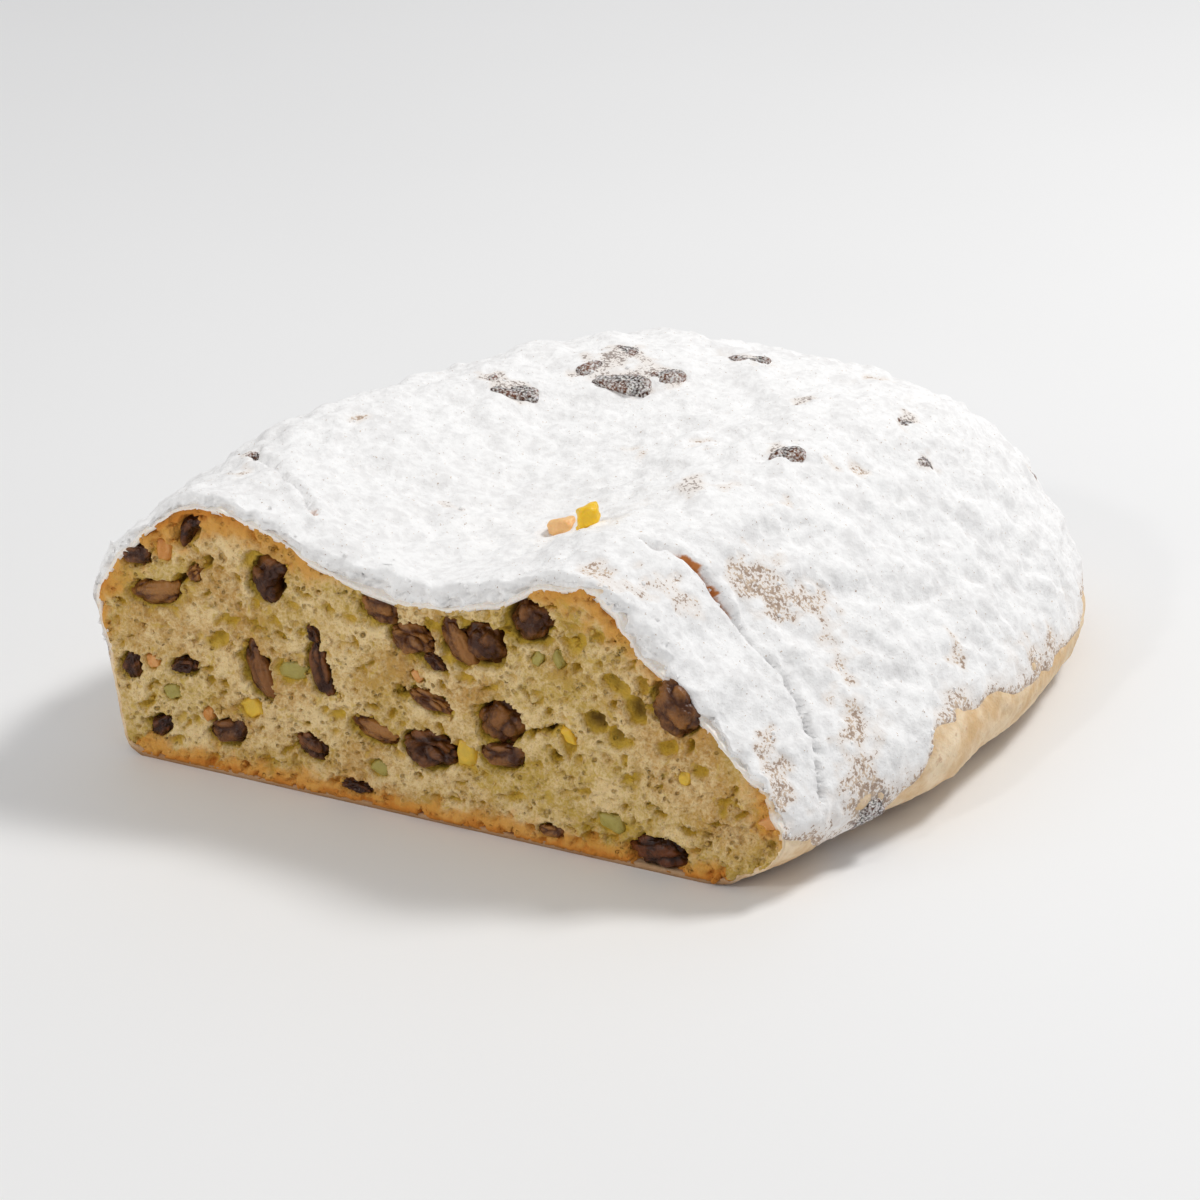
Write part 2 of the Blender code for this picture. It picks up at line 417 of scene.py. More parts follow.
def beside(points, corners):
    """Distance in mm of each point from a crack's line, below 0 on the side towards the cut."""
    line = np.array([skin.find_nearest(Vector(point))[0] for point in curve(corners)])
    found = np.full(points.shape[:-1], FAR_FROM_CRACKS)
    low, high = line.min(axis=0) - CRACK_REACH, line.max(axis=0) + CRACK_REACH
    rows = np.nonzero(((points > low) & (points < high)).all(axis=-1))
    chosen = points[rows]
    gaps = np.linalg.norm(chosen[:, None] - line[None], axis=-1)
    nearest = gaps.argmin(axis=1)
    onward = line[np.minimum(nearest + 1, len(line) - 1)] - line[np.maximum(nearest - 1, 0)]
    away = chosen - line[nearest]
    side = np.sign(onward[:, 0] * away[:, 1] - onward[:, 1] * away[:, 0])
    found[rows] = gaps.min(axis=1) * np.where(side == 0, 1, side)
    return found


def torn(points):
    """What the cracks add to the sugar's surface, in mm: a raised edge beside each, and a groove."""
    shaken = ruffled(points, 0.5, 2.6)
    first = np.abs(beside(shaken, CRACK))
    gaping = eased(44, 50, points[..., 2])  # the crack is open at the top and closes further down
    raised = 0.45 * np.exp(-((first - 2.0) / 1.6) ** 2)
    groove = np.exp(-(first / (0.42 + 0.36 * gaping)) ** 3)
    lift = raised - (CRACK_DEPTH + 0.9 * gaping) * groove
    lift = lift * (1 - eased(6.0, 8.5, first))
    second = beside(shaken, SECOND_CRACK)
    lift -= 0.40 * np.exp(-(second / 1.3) ** 2)
    lift += 0.25 * np.exp(-((second - 2.2) / 1.4) ** 2)
    fine = np.abs(beside(shaken, FINE_CRACK))
    lift += 0.5 * np.exp(-((fine - 2.0) / 1.2) ** 2) - 1.9 * np.exp(-(fine / 0.75) ** 2)
    return lift


cracks = torn(net)
print("the cracks change", int((np.abs(cracks) > 0.05).sum()), "points of the net")

# %% [markdown]
# ## Shells between two nets
#
# Crust and sugar are both thin shells, with an outer face that is seen and an inner one that isn't. An
# inner face as fine as the outer would double the work for nothing, so it takes every third row and
# column only, and along the open edges each of its steps is joined to three fine ones. The shell is
# closed all round, without a gap, which a printer, a baker of textures and a physics engine all like.

# %% A closed shell with a fine outside and a coarse inside
COARSE = 3


def note(mesh, name, numbers, kind="FLOAT", field="value"):
    """Stores a number, or a vector, for each point of a mesh."""
    layer = mesh.attributes.new(name, kind, "POINT")
    layer.data.foreach_set(field, np.ravel(numbers).tolist())


def to_mesh(name, points, faces, **values):
    """A mesh piece from points in mm from the foot, with a number for each point under each name."""
    mesh = bpy.data.meshes.new(name)
    mesh.from_pydata(((points + FOOT) * MM).tolist(), [], [tuple(face) for face in faces])
    for key, numbers in values.items():
        note(mesh, key, numbers)
    mesh.shade_smooth()
    piece = bpy.data.objects.new(name, mesh)
    bpy.context.scene.collection.objects.link(piece)
    return piece


def net_faces(rows, columns, closed):
    """Squares of a net whose points are numbered row by row, and the numbers of its last row."""
    down, along = np.meshgrid(np.arange(rows - 1), np.arange(columns - (not closed)), indexing="ij")
    a = down * columns + along
    b = down * columns + (along + 1) % columns
    return np.stack([a, b, b + columns, a + columns], -1).reshape(-1, 4)


def shell_faces(rows, columns, closed):
    """Faces of a shell: its outer net and tip come first, its coarse inner net and tip after them."""
    numbers = np.arange(rows * columns).reshape(rows, columns)
    outer_tip = rows * columns
    coarse = numbers[::COARSE, ::COARSE]
    coarse_rows, coarse_columns = coarse.shape
    inner = np.arange(coarse.size).reshape(coarse.shape) + outer_tip + 1
    inner_tip = inner.max() + 1
    faces = net_faces(rows, columns, closed).tolist()
    faces += (net_faces(coarse_rows, coarse_columns, closed)[:, ::-1] + outer_tip + 1).tolist()

    def ring(row):
        return list(row) + list(row[:1]) * closed

    faces += [(a, b, outer_tip) for a, b in itertools.pairwise(ring(numbers[-1]))]
    faces += [(b, a, inner_tip) for a, b in itertools.pairwise(ring(inner[-1]))]
    fine, plain = ring(numbers[0]), ring(inner[0])
    if not closed:
        fine += list(numbers[1:, -1]) + [outer_tip] + list(numbers[::-1, 0])
        plain += list(inner[1:, -1]) + [inner_tip] + list(inner[::-1, 0])
    for step, (c, d) in enumerate(itertools.pairwise(plain)):
        f = fine[COARSE * step:COARSE * step + COARSE + 1]
        faces += [(f[1], f[0], c), (f[2], f[1], c), (f[2], c, d), (f[3], f[2], d)]
    return faces


def shell(name, outer, inner, closed, **values):
    """A closed shell piece between two nets. A net's last row is its tip, and so it is for values."""
    rows, columns = outer.shape[0] - 1, outer.shape[1]

    def flat(upper, lower):
        fine, coarse = upper[:-1], lower[:-1][::COARSE, ::COARSE]
        width = upper.shape[2]
        parts = (fine, upper[-1, :1], coarse, lower[-1, :1])
        return np.concatenate([part.reshape(-1, width) for part in parts])

    noted = {key: flat(value[..., None], value[..., None])[:, 0] for key, value in values.items()}
    piece = to_mesh(name, flat(outer, inner), shell_faces(rows, columns, closed), **noted)
    face_outwards(piece.data)
    return piece


def face_outwards(mesh):
    """Turns a closed mesh's faces round if they point inwards, which makes its volume negative."""
    points = np.zeros(len(mesh.vertices) * 3)
    mesh.vertices.foreach_get("co", points)
    points = points.reshape(-1, 3)
    mesh.calc_loop_triangles()
    corners = np.zeros(len(mesh.loop_triangles) * 3, int)
    mesh.loop_triangles.foreach_get("vertices", corners)
    a, b, c = points[corners.reshape(-1, 3)].transpose(1, 0, 2)
    if (a * np.cross(b, c)).sum() < 0:
        mesh.flip_normals()


# %% [markdown]
# ## The crust
#
# The crust is the skin that the oven made: tan on the sides, darker on the base where it lay on the
# tray, and finely wrinkled. It lies as deep under the loaf's outline as the sugar is thick, so that
# coat and crust together are as big as the real loaf. It can be seen where the coat has gone, along
# the foot and at the rim of the cut.

# %% The crust, one closed shell over the whole loaf
CRUST_WALL = 1.1
UNDER_SUGAR = 0.12  # a little more room under the sugar than its depth
BEHIND_CUT = 0.5  # the crust's edge starts this far behind the cut face, in mm
NEXT_ROW = 0.2  # and its second row at least this much further


def crust_net(net, outwards, depth):
    """The crust's outer face."""
    wrinkles = 0.30 * ripples(net, 6.0, times=2, shift=11.0)
    wrinkles += 0.10 * ripples(net, 1.7, times=2, shift=12.0)
    wrinkles -= 0.35 * lumps(net, 5.0, shift=2.0) ** 6
    free = eased(0.0, 3.0, net[..., 2])  # the base stays flat on the table
    sunk = net - outwards * (free * (depth + UNDER_SUGAR - wrinkles))[..., None]
    sunk[..., 2] = np.maximum(sunk[..., 2], 0)
    sunk[-1] = sunk[-2].mean(axis=0)
    return sunk


crust_face = crust_net(net, outwards, depth)
crust_back = crust_face - CRUST_WALL * outwards
crust_outer = crust_face.copy()
for pulled in (crust_outer, crust_back):
    pulled[0, :, 1] = BEHIND_CUT
    pulled[1, :, 1] = np.maximum(pulled[1, :, 1], BEHIND_CUT + NEXT_ROW)
sugar_above = depth + 2.5 * np.minimum(cracks, 0)
crust = shell("crust", crust_outer, crust_back, closed=True, sugar=sugar_above)
print("crust:", len(crust.data.polygons), "faces")

# %% [markdown]
# ## The coat of icing sugar
#
# The coat follows the crust at the depth found above and adds what sugar does by itself: it clots,
# cakes and is pressed flat. Where the depth runs out, the coat dives under the crust, so its ragged
# edge is where two surfaces cross, and needs no outline of its own. At the cut the knife has left a
# blunt, crumbling lip. Six extra rows make it: they climb from the crust up the broken face of the
# sugar, and then the net goes on over the top.

# %% The coat's outer face
TUCKED = 0.5  # how far under the crust the coat's inner face and its ends lie, in mm
SLOPING = (1.0, 1.0, 0.6)  # clots are drawn out a little where they slid down the sides


def clots(points):
    """The sugar's own unevenness, in mm."""
    pressed = near(points, (120, 10, 35), (18, 12, 34)) + near(points, DRIFT, DRIFT_SIZE)
    loose = 1 - 0.55 * np.clip(pressed, 0, 1) + 0.5 * near(points, (146, 75, 34), (40, 50, 30))
    height = 0.70 * ripples(points, 12.0, times=2, shift=20.0)
    height += 0.62 * loose * ripples(points * SLOPING, 5.5, times=3, shift=21.0)
    heaps = 0.60 * lumps(points, 3.4, shift=4.0) + 0.24 * lumps(points, 1.6, shift=5.0)
    height += loose * (heaps - 0.32)
    return height


over = slice(0, OVER + 1)
coat_net, coat_out, coat_depth = net[:, over], outwards[:, over], depth[:, over]
held = eased(0.02, 0.4, coat_depth)
loose_relief = clots(coat_net) * eased(0.2, 1.6, coat_depth)
height = coat_depth + held * (loose_relief + cracks[:, over] + bumps(coat_net))
height = height - TUCKED * (1 - held)
height[-1] = height[-1].mean()
coat_face = crust_face[:, over] + coat_out * height[..., None]
coat_face[-1] = coat_face[-2].mean(axis=0)
print("the coat's outer face is at most", round(float(height.max()), 1), "mm above the crust")

# %% Its broken lip
LIP_ROWS = 6
ROUNDED_ROWS = 9  # rows behind the lip over which the sheet's edge is rounded off
LIP_STEP = 0.22  # each of them lies at least this much further from the cut than the one before
LIP_FRONT = 0.05  # no part of the lip comes closer to the cut than this, in mm
near_cut = slice(0, ROUNDED_ROWS)

setback = 0.35 + 1.5 * np.abs(ripples(coat_net[0], 6.0, times=3, shift=30.0))
round_off = np.sqrt(1 - (1 - np.clip(coat_net[near_cut, :, 1] / 2.6 + 0.28, 0, 1)) ** 2)
lip_height = height[near_cut] * np.where(height[near_cut] > 0, round_off, 1)
coat_face[near_cut] = crust_face[near_cut, over] + coat_out[near_cut] * lip_height[..., None]
for row in range(ROUNDED_ROWS):
    coat_face[row, :, 1] = np.maximum(coat_face[row, :, 1], setback + LIP_STEP * row)

climb = (np.arange(LIP_ROWS) / LIP_ROWS)[:, None]
above_crust = -TUCKED + climb * (lip_height[:1] + TUCKED)
lip = crust_face[:1, over] + coat_out[:1] * above_crust[..., None]
broken = 0.9 * ripples(lip * [1, 1, 2], 2.6, times=3, shift=31.0)
lip[..., 1] = setback + 0.35 * (1 - climb) + broken * np.minimum(1, 3 * climb) * (height[:1] > 0)
lip[..., 1] = np.maximum(lip[..., 1], LIP_FRONT)

coat_back = crust_face[:, over] - TUCKED * coat_out
lip_back = np.repeat(coat_back[:1], LIP_ROWS, axis=0)
lip_back[..., 1] = 0.8 + 0.4 * climb
coat_back[:2, :, 1] = np.maximum(coat_back[:2, :, 1], 1.4)
print("the lip stands back from the cut by", round(float(setback.mean()), 1), "mm on average")

# %% [markdown]
# The coat's finish and its loose grains need to know a few things that only the shape can tell: how
# thick the sugar lies, where fruit is under it, where a crack is open down to the crust, and where
# sugar crumbles, which is at the cut, at ragged edges and in the cracks.

# %% What the coat notes at each point, and the coat itself
OPEN_CRACK_HEIGHTS = (43, 48), (54.5, 56.8)  # the crack opens between the first two, and closes again
HARDLY_OPEN = 0.12


def with_lip(values):
    """Values for the coat's net, with those of its first row repeated for the lip."""
    return np.concatenate([np.repeat(values[:1], LIP_ROWS, axis=0), values])


fruit_under = over_fruit(frayed(coat_net), 0.28)
ragged = held * (1 - eased(0.7, 1.6, coat_depth))
loose = held * 0.5 * np.exp(-coat_net[..., 1] / 1.6) + 0.1 * ragged
loose += 0.35 * (cracks[:, over] < -0.35)
opens, closes = (eased(*ends, coat_net[..., 2]) for ends in OPEN_CRACK_HEIGHTS)
wide_open = HARDLY_OPEN + (1 - HARDLY_OPEN) * (opens * (1 - closes))
open_crack = eased(0.04, 0.32, -cracks[:, over] / CRACK_DEPTH) * wide_open

coat = shell(
    "icing_sugar", np.concatenate([lip, coat_face]), np.concatenate([lip_back, coat_back]),
    closed=False, sugar=with_lip(coat_depth + 0.35 * loose_relief), fruit=with_lip(fruit_under),
    loose=with_lip(loose), open_crack=with_lip(open_crack),
)
print("coat:", len(coat.data.polygons), "faces")

# %% [markdown]
# ## What is in the dough
#
# The cut goes through whatever was in its way. This list names the fruit that can be seen there, as a
# baker might sketch it: how far along and how high it lies, how long and how thick it is, how far it
# is turned, and what kind it is. The crumb needs the list as well as the fruit does, because each
# piece of fruit sits in a socket of its own, with a gap where the crumb has shrunk away, which the
# crumb's finish darkens with painted shade.

# %% Fruit in the cut face: along, up, length, thickness, turn in degrees, kind
ROUND, LONG, CURLED, FLAT = range(4)
RAISINS_IN_CUT = [
    (4.8, 43.8, 7.2, 4.4, 8, LONG), (9.0, 36.6, 12.4, 5.8, 14, LONG),
    (34.2, 44.6, 10.0, 8.4, 72, CURLED), (58.2, 43.0, 8.8, 5.8, -16, ROUND),
    (65.2, 38.0, 9.8, 6.8, -12, FLAT), (74.2, 39.2, 11.4, 6.2, -58, LONG),
    (80.2, 40.0, 10.4, 9.0, -48, ROUND), (69.8, 34.0, 5.4, 3.6, -28, FLAT),
    (89.6, 46.6, 10.2, 9.0, 12, ROUND), (31.4, 24.8, 13.4, 6.2, -72, LONG),
    (44.8, 27.6, 11.6, 4.8, -76, LONG), (43.9, 34.8, 4.6, 3.2, -60, FLAT),
    (2.6, 19.6, 6.8, 4.6, 80, ROUND), (14.8, 22.0, 6.6, 4.2, 20, FLAT),
    (68.9, 25.6, 10.2, 3.9, -17, FLAT), (56.3, 16.8, 10.8, 5.2, -14, LONG),
    (68.4, 15.2, 12.4, 8.2, -6, FLAT), (83.2, 24.2, 10.6, 9.6, 40, ROUND),
    (83.7, 17.2, 10.0, 5.6, 8, LONG), (119.6, 35.4, 11.4, 9.0, -58, ROUND),
    (94.0, 3.6, 5.6, 2.8, 5, LONG), (115.9, 4.0, 13.0, 7.2, 4, ROUND),
    (24.0, 9.4, 9.2, 6.0, 18, LONG), (42.6, 10.6, 8.0, 5.0, -24, ROUND),
    (8.6, 7.6, 6.4, 4.2, 40, ROUND), (52.4, 3.8, 7.0, 3.0, 0, FLAT),
    (18.4, 42.8, 4.2, 3.2, 62, FLAT), (17.0, 51.3, 8.6, 4.6, 58, CURLED),
]
# The same for peel
PEEL_IN_CUT = {
    LEMON: [
        (75.8, 15.9, 5.2, 6.4, 12), (29.4, 16.0, 5.2, 4.8, 30), (97.5, 24.6, 3.0, 4.4, 20),
        (121.5, 21.0, 3.4, 3.0, 35),
    ],
    ORANGE: [
        (11.2, 46.0, 4.2, 5.2, 12), (7.6, 21.6, 3.2, 3.0, 10), (138.0, 15.2, 4.2, 3.2, 30),
        (19.6, 12.4, 2.6, 3.4, 15), (66.0, 30.6, 2.4, 2.8, 50),
    ],
    GREEN: [
        (38.8, 26.0, 7.4, 4.4, 4), (11.6, 15.8, 4.4, 3.4, 24), (106.4, 8.2, 6.6, 4.0, -8),
        (95.6, 40.2, 3.0, 5.0, 14), (57.6, 9.0, 4.6, 3.2, -20), (91.4, 39.4, 2.4, 3.4, -30),
    ],
}
bits_in_cut = sum(map(len, PEEL_IN_CUT.values()))
print("in the cut:", len(RAISINS_IN_CUT), "raisins and", bits_in_cut, "bits of peel")

# %% Holes in the cut face: along, up, half length, half width, turn in degrees, depth
# Gaps and slits, which the crumb's finish darkens by their depth with painted shade
GAPS = [
    (14.9, 40.6, 3.0, 1.3, 38, 3.4), (21.3, 45.8, 2.1, 1.2, 70, 3.2),
    (14.8, 49.2, 2.0, 1.1, 20, 2.4), (63.0, 26.8, 1.9, 1.5, -20, 3.6),
    (92.6, 24.6, 5.0, 0.85, 16, 3.6), (95.2, 19.6, 1.6, 0.9, -10, 3.0),
    (114.9, 13.9, 1.9, 0.6, -8, 2.8), (116.4, 12.2, 1.6, 0.5, -4, 2.6),
    (102.8, 4.6, 2.3, 1.2, 20, 2.6), (46.8, 23.8, 2.2, 1.6, -30, 3.2),
    (19.4, 22.4, 1.6, 0.7, -4, 2.6), (33.8, 49.2, 2.6, 1.0, -6, 2.8),
    (128.6, 13.4, 2.6, 0.7, 10, 2.4), (122.6, 10.2, 2.2, 0.8, -35, 2.2),
    (88.6, 32.4, 2.2, 0.6, -48, 2.0), (71.4, 29.8, 1.4, 0.6, 70, 2.2),
    (56.0, 31.0, 1.9, 0.7, 26, 2.0), (5.4, 12.0, 2.4, 0.6, 20, 2.2), (33.0, 5.2, 3.0, 0.5, 8, 2.2),
    (74.0, 5.6, 2.6, 0.5, -6, 2.0),
]
# Large bubbles
BUBBLES = [
    (107.4, 37.2, 2.7, 1.5, -22, 1.7), (111.6, 33.2, 1.7, 2.9, 22, 2.1),
    (103.2, 28.8, 2.4, 2.0, 6, 2.2), (107.6, 26.6, 1.6, 2.2, 0, 1.9),
    (113.0, 38.2, 1.5, 1.9, 24, 1.6), (98.0, 23.0, 1.4, 2.4, -6, 1.7),
    (99.6, 44.0, 1.2, 2.6, -32, 1.2), (25.4, 34.4, 2.2, 1.2, 18, 1.4),
    (30.6, 47.6, 1.4, 2.2, -30, 1.3), (39.8, 40.0, 1.6, 1.0, 0, 1.0),
    (22.6, 29.4, 2.8, 1.5, 28, 1.5), (52.0, 40.0, 1.6, 1.0, 10, 1.1),
    (117.8, 26.4, 2.0, 1.6, 30, 1.5), (124.4, 23.2, 1.7, 1.2, -20, 1.3),
    (110.0, 18.6, 1.6, 1.2, 0, 1.2), (86.4, 9.6, 2.2, 1.0, 12, 1.2),
    (100.4, 14.0, 1.8, 0.9, 0, 1.1), (76.4, 32.6, 1.5, 1.1, 0, 1.2),
    (48.6, 19.0, 1.8, 1.1, 30, 1.2), (103.8, 47.0, 1.4, 1.0, 0, 0.9),
    (129.6, 17.6, 1.6, 1.0, 20, 1.2),
]
print("and", len(GAPS), "gaps and", len(BUBBLES), "large bubbles")

# %% [markdown]
# ## The crumb
#
# A cut face is nearly flat, so a regular grid would do for it, but its squares would show: crumb has no
# direction. Scattered points, joined into triangles by Delaunay's rule, have none either, and they can
# follow the outline exactly. The face is a slab as thick as its deepest hole. Its front is then
# pressed in: sockets round the fruit, slits, bubbles, and hundreds of small pores, each a dent with
# its own size and turn.

# %% Scattered points inside the outline of the cut, joined into triangles
CRUMB_STEP = 0.38  # distance between points of the face, in mm
BACK_STEP = 3.0  # and of the slab's back, which nobody sees
OUTLINE_POINTS = 980
INSIDE_CRUST = 0.12
crumb_chance = np.random.default_rng(5)


def upright(points, behind=0.0):
    """Flat points of the cut face, along and up, as points in space, some mm behind the cut."""
    return np.stack([points[:, 0], behind + 0 * points[:, 0], points[:, 1]], axis=-1)


def finder(points):
    """A search tree for the nearest of some flat points."""
    tree = KDTree(len(points))
    for number, point in enumerate(points):
        tree.insert((*point, 0), number)
    tree.balance()
    return tree


def inside(outline, points):
    """Which points lie inside a closed line: those that it goes round an odd number of times."""
    a, b = outline, np.roll(outline, -1, axis=0)
    crossed = np.zeros(len(points), bool)
    for (x1, z1), (x2, z2) in zip(a, b):
        between = (z1 > points[:, 1]) != (z2 > points[:, 1])
        with np.errstate(divide="ignore", invalid="ignore"):
            crossed ^= between & (points[:, 0] < x1 + (points[:, 1] - z1) * (x2 - x1) / (z2 - z1))
    return crossed


def triangulated(outline, step):
    """Points and triangles that fill an outline. The outline's own points come first, in order."""
    low, high = outline.min(axis=0), outline.max(axis=0)
    ticks = [np.arange(start, end, step) for start, end in zip(low, high)]
    grid = np.stack(np.meshgrid(*ticks), -1).reshape(-1, 2)
    grid = grid + crumb_chance.uniform(-0.36, 0.36, grid.shape) * step
    grid = grid[inside(outline, grid)]
    tree = finder(outline)
    grid = np.array([point for point in grid if tree.find((*point, 0))[2] > 0.6 * step])
    points = [Vector(point) for point in np.concatenate([outline, grid])]
    made = delaunay_2d_cdt(points, [], [list(range(len(outline)))], 1, 1e-6)
    return np.array([tuple(point) for point in made[0]]), [tuple(face) for face in made[2]]


rim = crust_face[0] - INSIDE_CRUST * outwards[0]
outline = spread(np.concatenate([rim, rim[:1]]), OUTLINE_POINTS, closed=True)[:, (0, 2)]
face_points, face_triangles = triangulated(outline, CRUMB_STEP)
middle = outline.mean(axis=0)
back_points, back_triangles = triangulated(middle + 0.95 * (outline - middle), BACK_STEP)
print("crumb face:", len(face_points), "points,", len(face_triangles), "triangles")

# %% Helpers that press holes into the face
PORES = 3000
SLAB = 6.5  # thickness of the crumb's slab, in mm
GAP, GAP_ACROSS = 0.25, 0.3  # where the crumb has shrunk away from the fruit, in mm
PEEL_SOCKET = 2.0  # how deep peel sits
BUBBLES_WIDER, BUBBLES_DEEPER = 1.25, 1.4
BUCKET = 3  # pores look for points in squares of this size, in mm, and no further


def flow(x, z):
    """The way the dough was rolled, in degrees, which stretches its pores."""
    return 34 * np.sin(x / 17.0 + z / 23.0) + 20 * np.sin(z / 11.0)


def pit(points, dents, x, z, half_length, half_width, turn, depth, edge=1.0):
    """Presses one oval hole into the dents. A low edge makes it steep, like a socket."""
    angle = math.radians(turn)
    along = (points[:, 0] - x) * math.cos(angle) + (points[:, 1] - z) * math.sin(angle)
    across = (points[:, 1] - z) * math.cos(angle) - (points[:, 0] - x) * math.sin(angle)
    out = (along / half_length) ** 2 + (across / half_width) ** 2
    np.maximum(dents, depth * np.clip(1 - out, 0, 1) ** edge, out=dents)


def dented(points):
    """How far each point of the face is pressed in, in mm."""
    flat = upright(points)
    moves = [ripples(flat, 2.2, times=3, shift=axis) for axis in (40, 41)]
    shaken = points + 0.6 * np.stack(moves, -1)
    dents = np.zeros(len(points))
    for x, z, length, thick, turn, _ in RAISINS_IN_CUT:
        socket = 0.38 * thick + 1.5
        pit(shaken, dents, x, z, length / 2 + GAP, thick / 2 + GAP_ACROSS, turn, socket, 0.45)
    for bits in PEEL_IN_CUT.values():
        for x, z, length, thick, turn in bits:
            pit(shaken, dents, x, z, length / 2 + GAP, thick / 2 + GAP, turn, PEEL_SOCKET, 0.4)
    for x, z, half_length, half_width, turn, depth in GAPS:
        pit(shaken, dents, x, z, half_length, half_width, turn, depth, 0.7)
    for x, z, half_length, half_width, turn, depth in BUBBLES:
        half_length, half_width = BUBBLES_WIDER * half_length, BUBBLES_WIDER * half_width
        pit(shaken, dents, x, z, half_length, half_width, turn, BUBBLES_DEEPER * depth, 0.5)
    buckets = {}
    for number, (x, z) in enumerate((points // BUCKET).astype(int)):
        buckets.setdefault((x, z), []).append(number)
    low, high = points.min(axis=0), points.max(axis=0)
    for _ in range(PORES):
        x, z = crumb_chance.uniform(low, high)
        size = 0.28 + 0.75 * crumb_chance.random() ** 5
        stretch = crumb_chance.uniform(1.0, 2.1)
        depth = size * crumb_chance.uniform(1.1, 2.6)
        turn = flow(x, z) + crumb_chance.normal(0, 22)
        column, row = int(x // BUCKET), int(z // BUCKET)
        close = []
        for i, j in itertools.product((-1, 0, 1), repeat=2):
            close += buckets.get((column + i, row + j), [])
        if close:
            part = dents[close]
            pit(shaken[close], part, x, z, size * stretch, size, turn, depth, 0.8)
            dents[close] = part
    return np.minimum(dents, SLAB - 1)


# The corner where the knife tore the crumb most, and a patch beside it: place and size
TORN_MOST, TORN_TOO = ((134, 11), (9, 9)), ((112, 20), (16, 9))


def torn_crumb(points):
    """The fine raggedness of cut crumb, in mm, out of the face."""
    flat = upright(points)
    rough = 0.35 * ripples(flat, 14.0, shift=50.0) + 0.22 * ripples(flat, 4.0, times=2, shift=51.0)
    rough += 0.26 * lumps(flat, 1.9, shift=8.0) + 0.20 * ripples(flat, 1.1, times=2, shift=52.0)
    wild = near(points, *TORN_MOST) + 0.6 * near(points, *TORN_TOO)
    return rough + wild * (1.8 * ripples(flat, 3.0, times=3, shift=53.0) + 0.2)


# %% Press them in
CRUMB_SINKS = 0.25  # how far behind the cut the crumb lies on average, in mm
EDGE_SINKS = 0.45  # and how much further at its edge
MOST_PROUD = 0.9  # no crumb stands further out than this
dents = dented(face_points)
edge_tree = finder(outline)
found = [edge_tree.find((*point, 0)) for point in face_points]
from_edge = np.array([hit[2] for hit in found])
edge_place = outline[[hit[1] for hit in found]]
relief = torn_crumb(face_points) * eased(0, 1.5, from_edge) - dents * eased(0.0, 0.5, from_edge)
relief -= EDGE_SINKS * (1 - eased(0, 1.3, from_edge)) + CRUMB_SINKS
relief = np.minimum(relief, MOST_PROUD)
print("deepest hole", round(float(-relief.min()), 1), "mm, on average", round(float(dents.mean()), 2))

# %% [markdown]
# The oven's colour reaches a few millimetres into the crumb, most at the folds that stood up into the
# heat and least in the dip, where butter and sugar have soaked in. That is one more number for each
# point, which the crumb's material turns into colour. The depth of each hole is another, which it turns
# into painted shade.

# %% Note where the oven coloured it: along, up, reach along and up, and strength of the colour
BROWNED = [
    (12, 56, 26, 11, 1.3), (-4, 36, 5, 10, 1.0), (44, 50, 9, 6, 0.35), (106, 52, 12, 7, 0.9),
    (120, 37, 8, 9, 0.8), (92, 55, 10, 4, 0.45), (137, 17, 7, 7, 0.9),
]
BASE_BELOW = 1.5  # edge points lower than this belong to the base
BASE_STRENGTH, BASE_REACH, SIDE_REACH = 1.5, 2.4, 3.8
browned = sum(
    strength * near(edge_place, (x, z), (reach_x, reach_z))
    for x, z, reach_x, reach_z, strength in BROWNED
)
uneven = 1 + 0.45 * ripples(upright(face_points), 3.5, times=2, shift=60.0)
on_base = edge_place[:, 1] < BASE_BELOW
reach = np.where(on_base, BASE_REACH, SIDE_REACH) * np.clip(uneven, 0.4, 2)
browned = np.where(on_base, BASE_STRENGTH, browned) * np.exp(-from_edge / reach)
print("coloured by the oven:", round(100 * float((browned > 0.3).mean())), "% of the cut face")

# %% Close the slab
def slab(front, front_faces, back, back_faces, outline_length):
    """Points and faces of a slab whose two sides share the order of their outline."""
    faces = list(front_faces) + [tuple(len(front) + n for n in reversed(face)) for face in back_faces]
    for a in range(outline_length):
        b = (a + 1) % outline_length
        faces.append((a, b, len(front) + b, len(front) + a))
    return np.concatenate([front, back]), faces


front, back = upright(face_points, -relief), upright(back_points, SLAB)
slab_points, slab_faces = slab(front, face_triangles, back, back_triangles, len(outline))
fill = np.zeros(len(back))
# The depth of each dent goes with the crumb, for its finish to paint shade by
crumb = to_mesh(
    "crumb", slab_points, slab_faces, browned=np.concatenate([browned, fill]),
    hole=np.concatenate([dents, fill]),
)
face_outwards(crumb.data)
print("crumb:", len(crumb.data.polygons), "faces")

# %% [markdown]
# ## One way to write nodes
#
# Both the scattered pieces and the finishes are made with nodes, and a tree of nodes reads badly as a
# list of links. This class holds the end of a wire between two nodes. Wires can be added, subtracted,
# multiplied and divided like numbers, each of which puts a Math node in the tree, and any other node
# comes from one method that takes its type, its settings and what goes into its sockets.

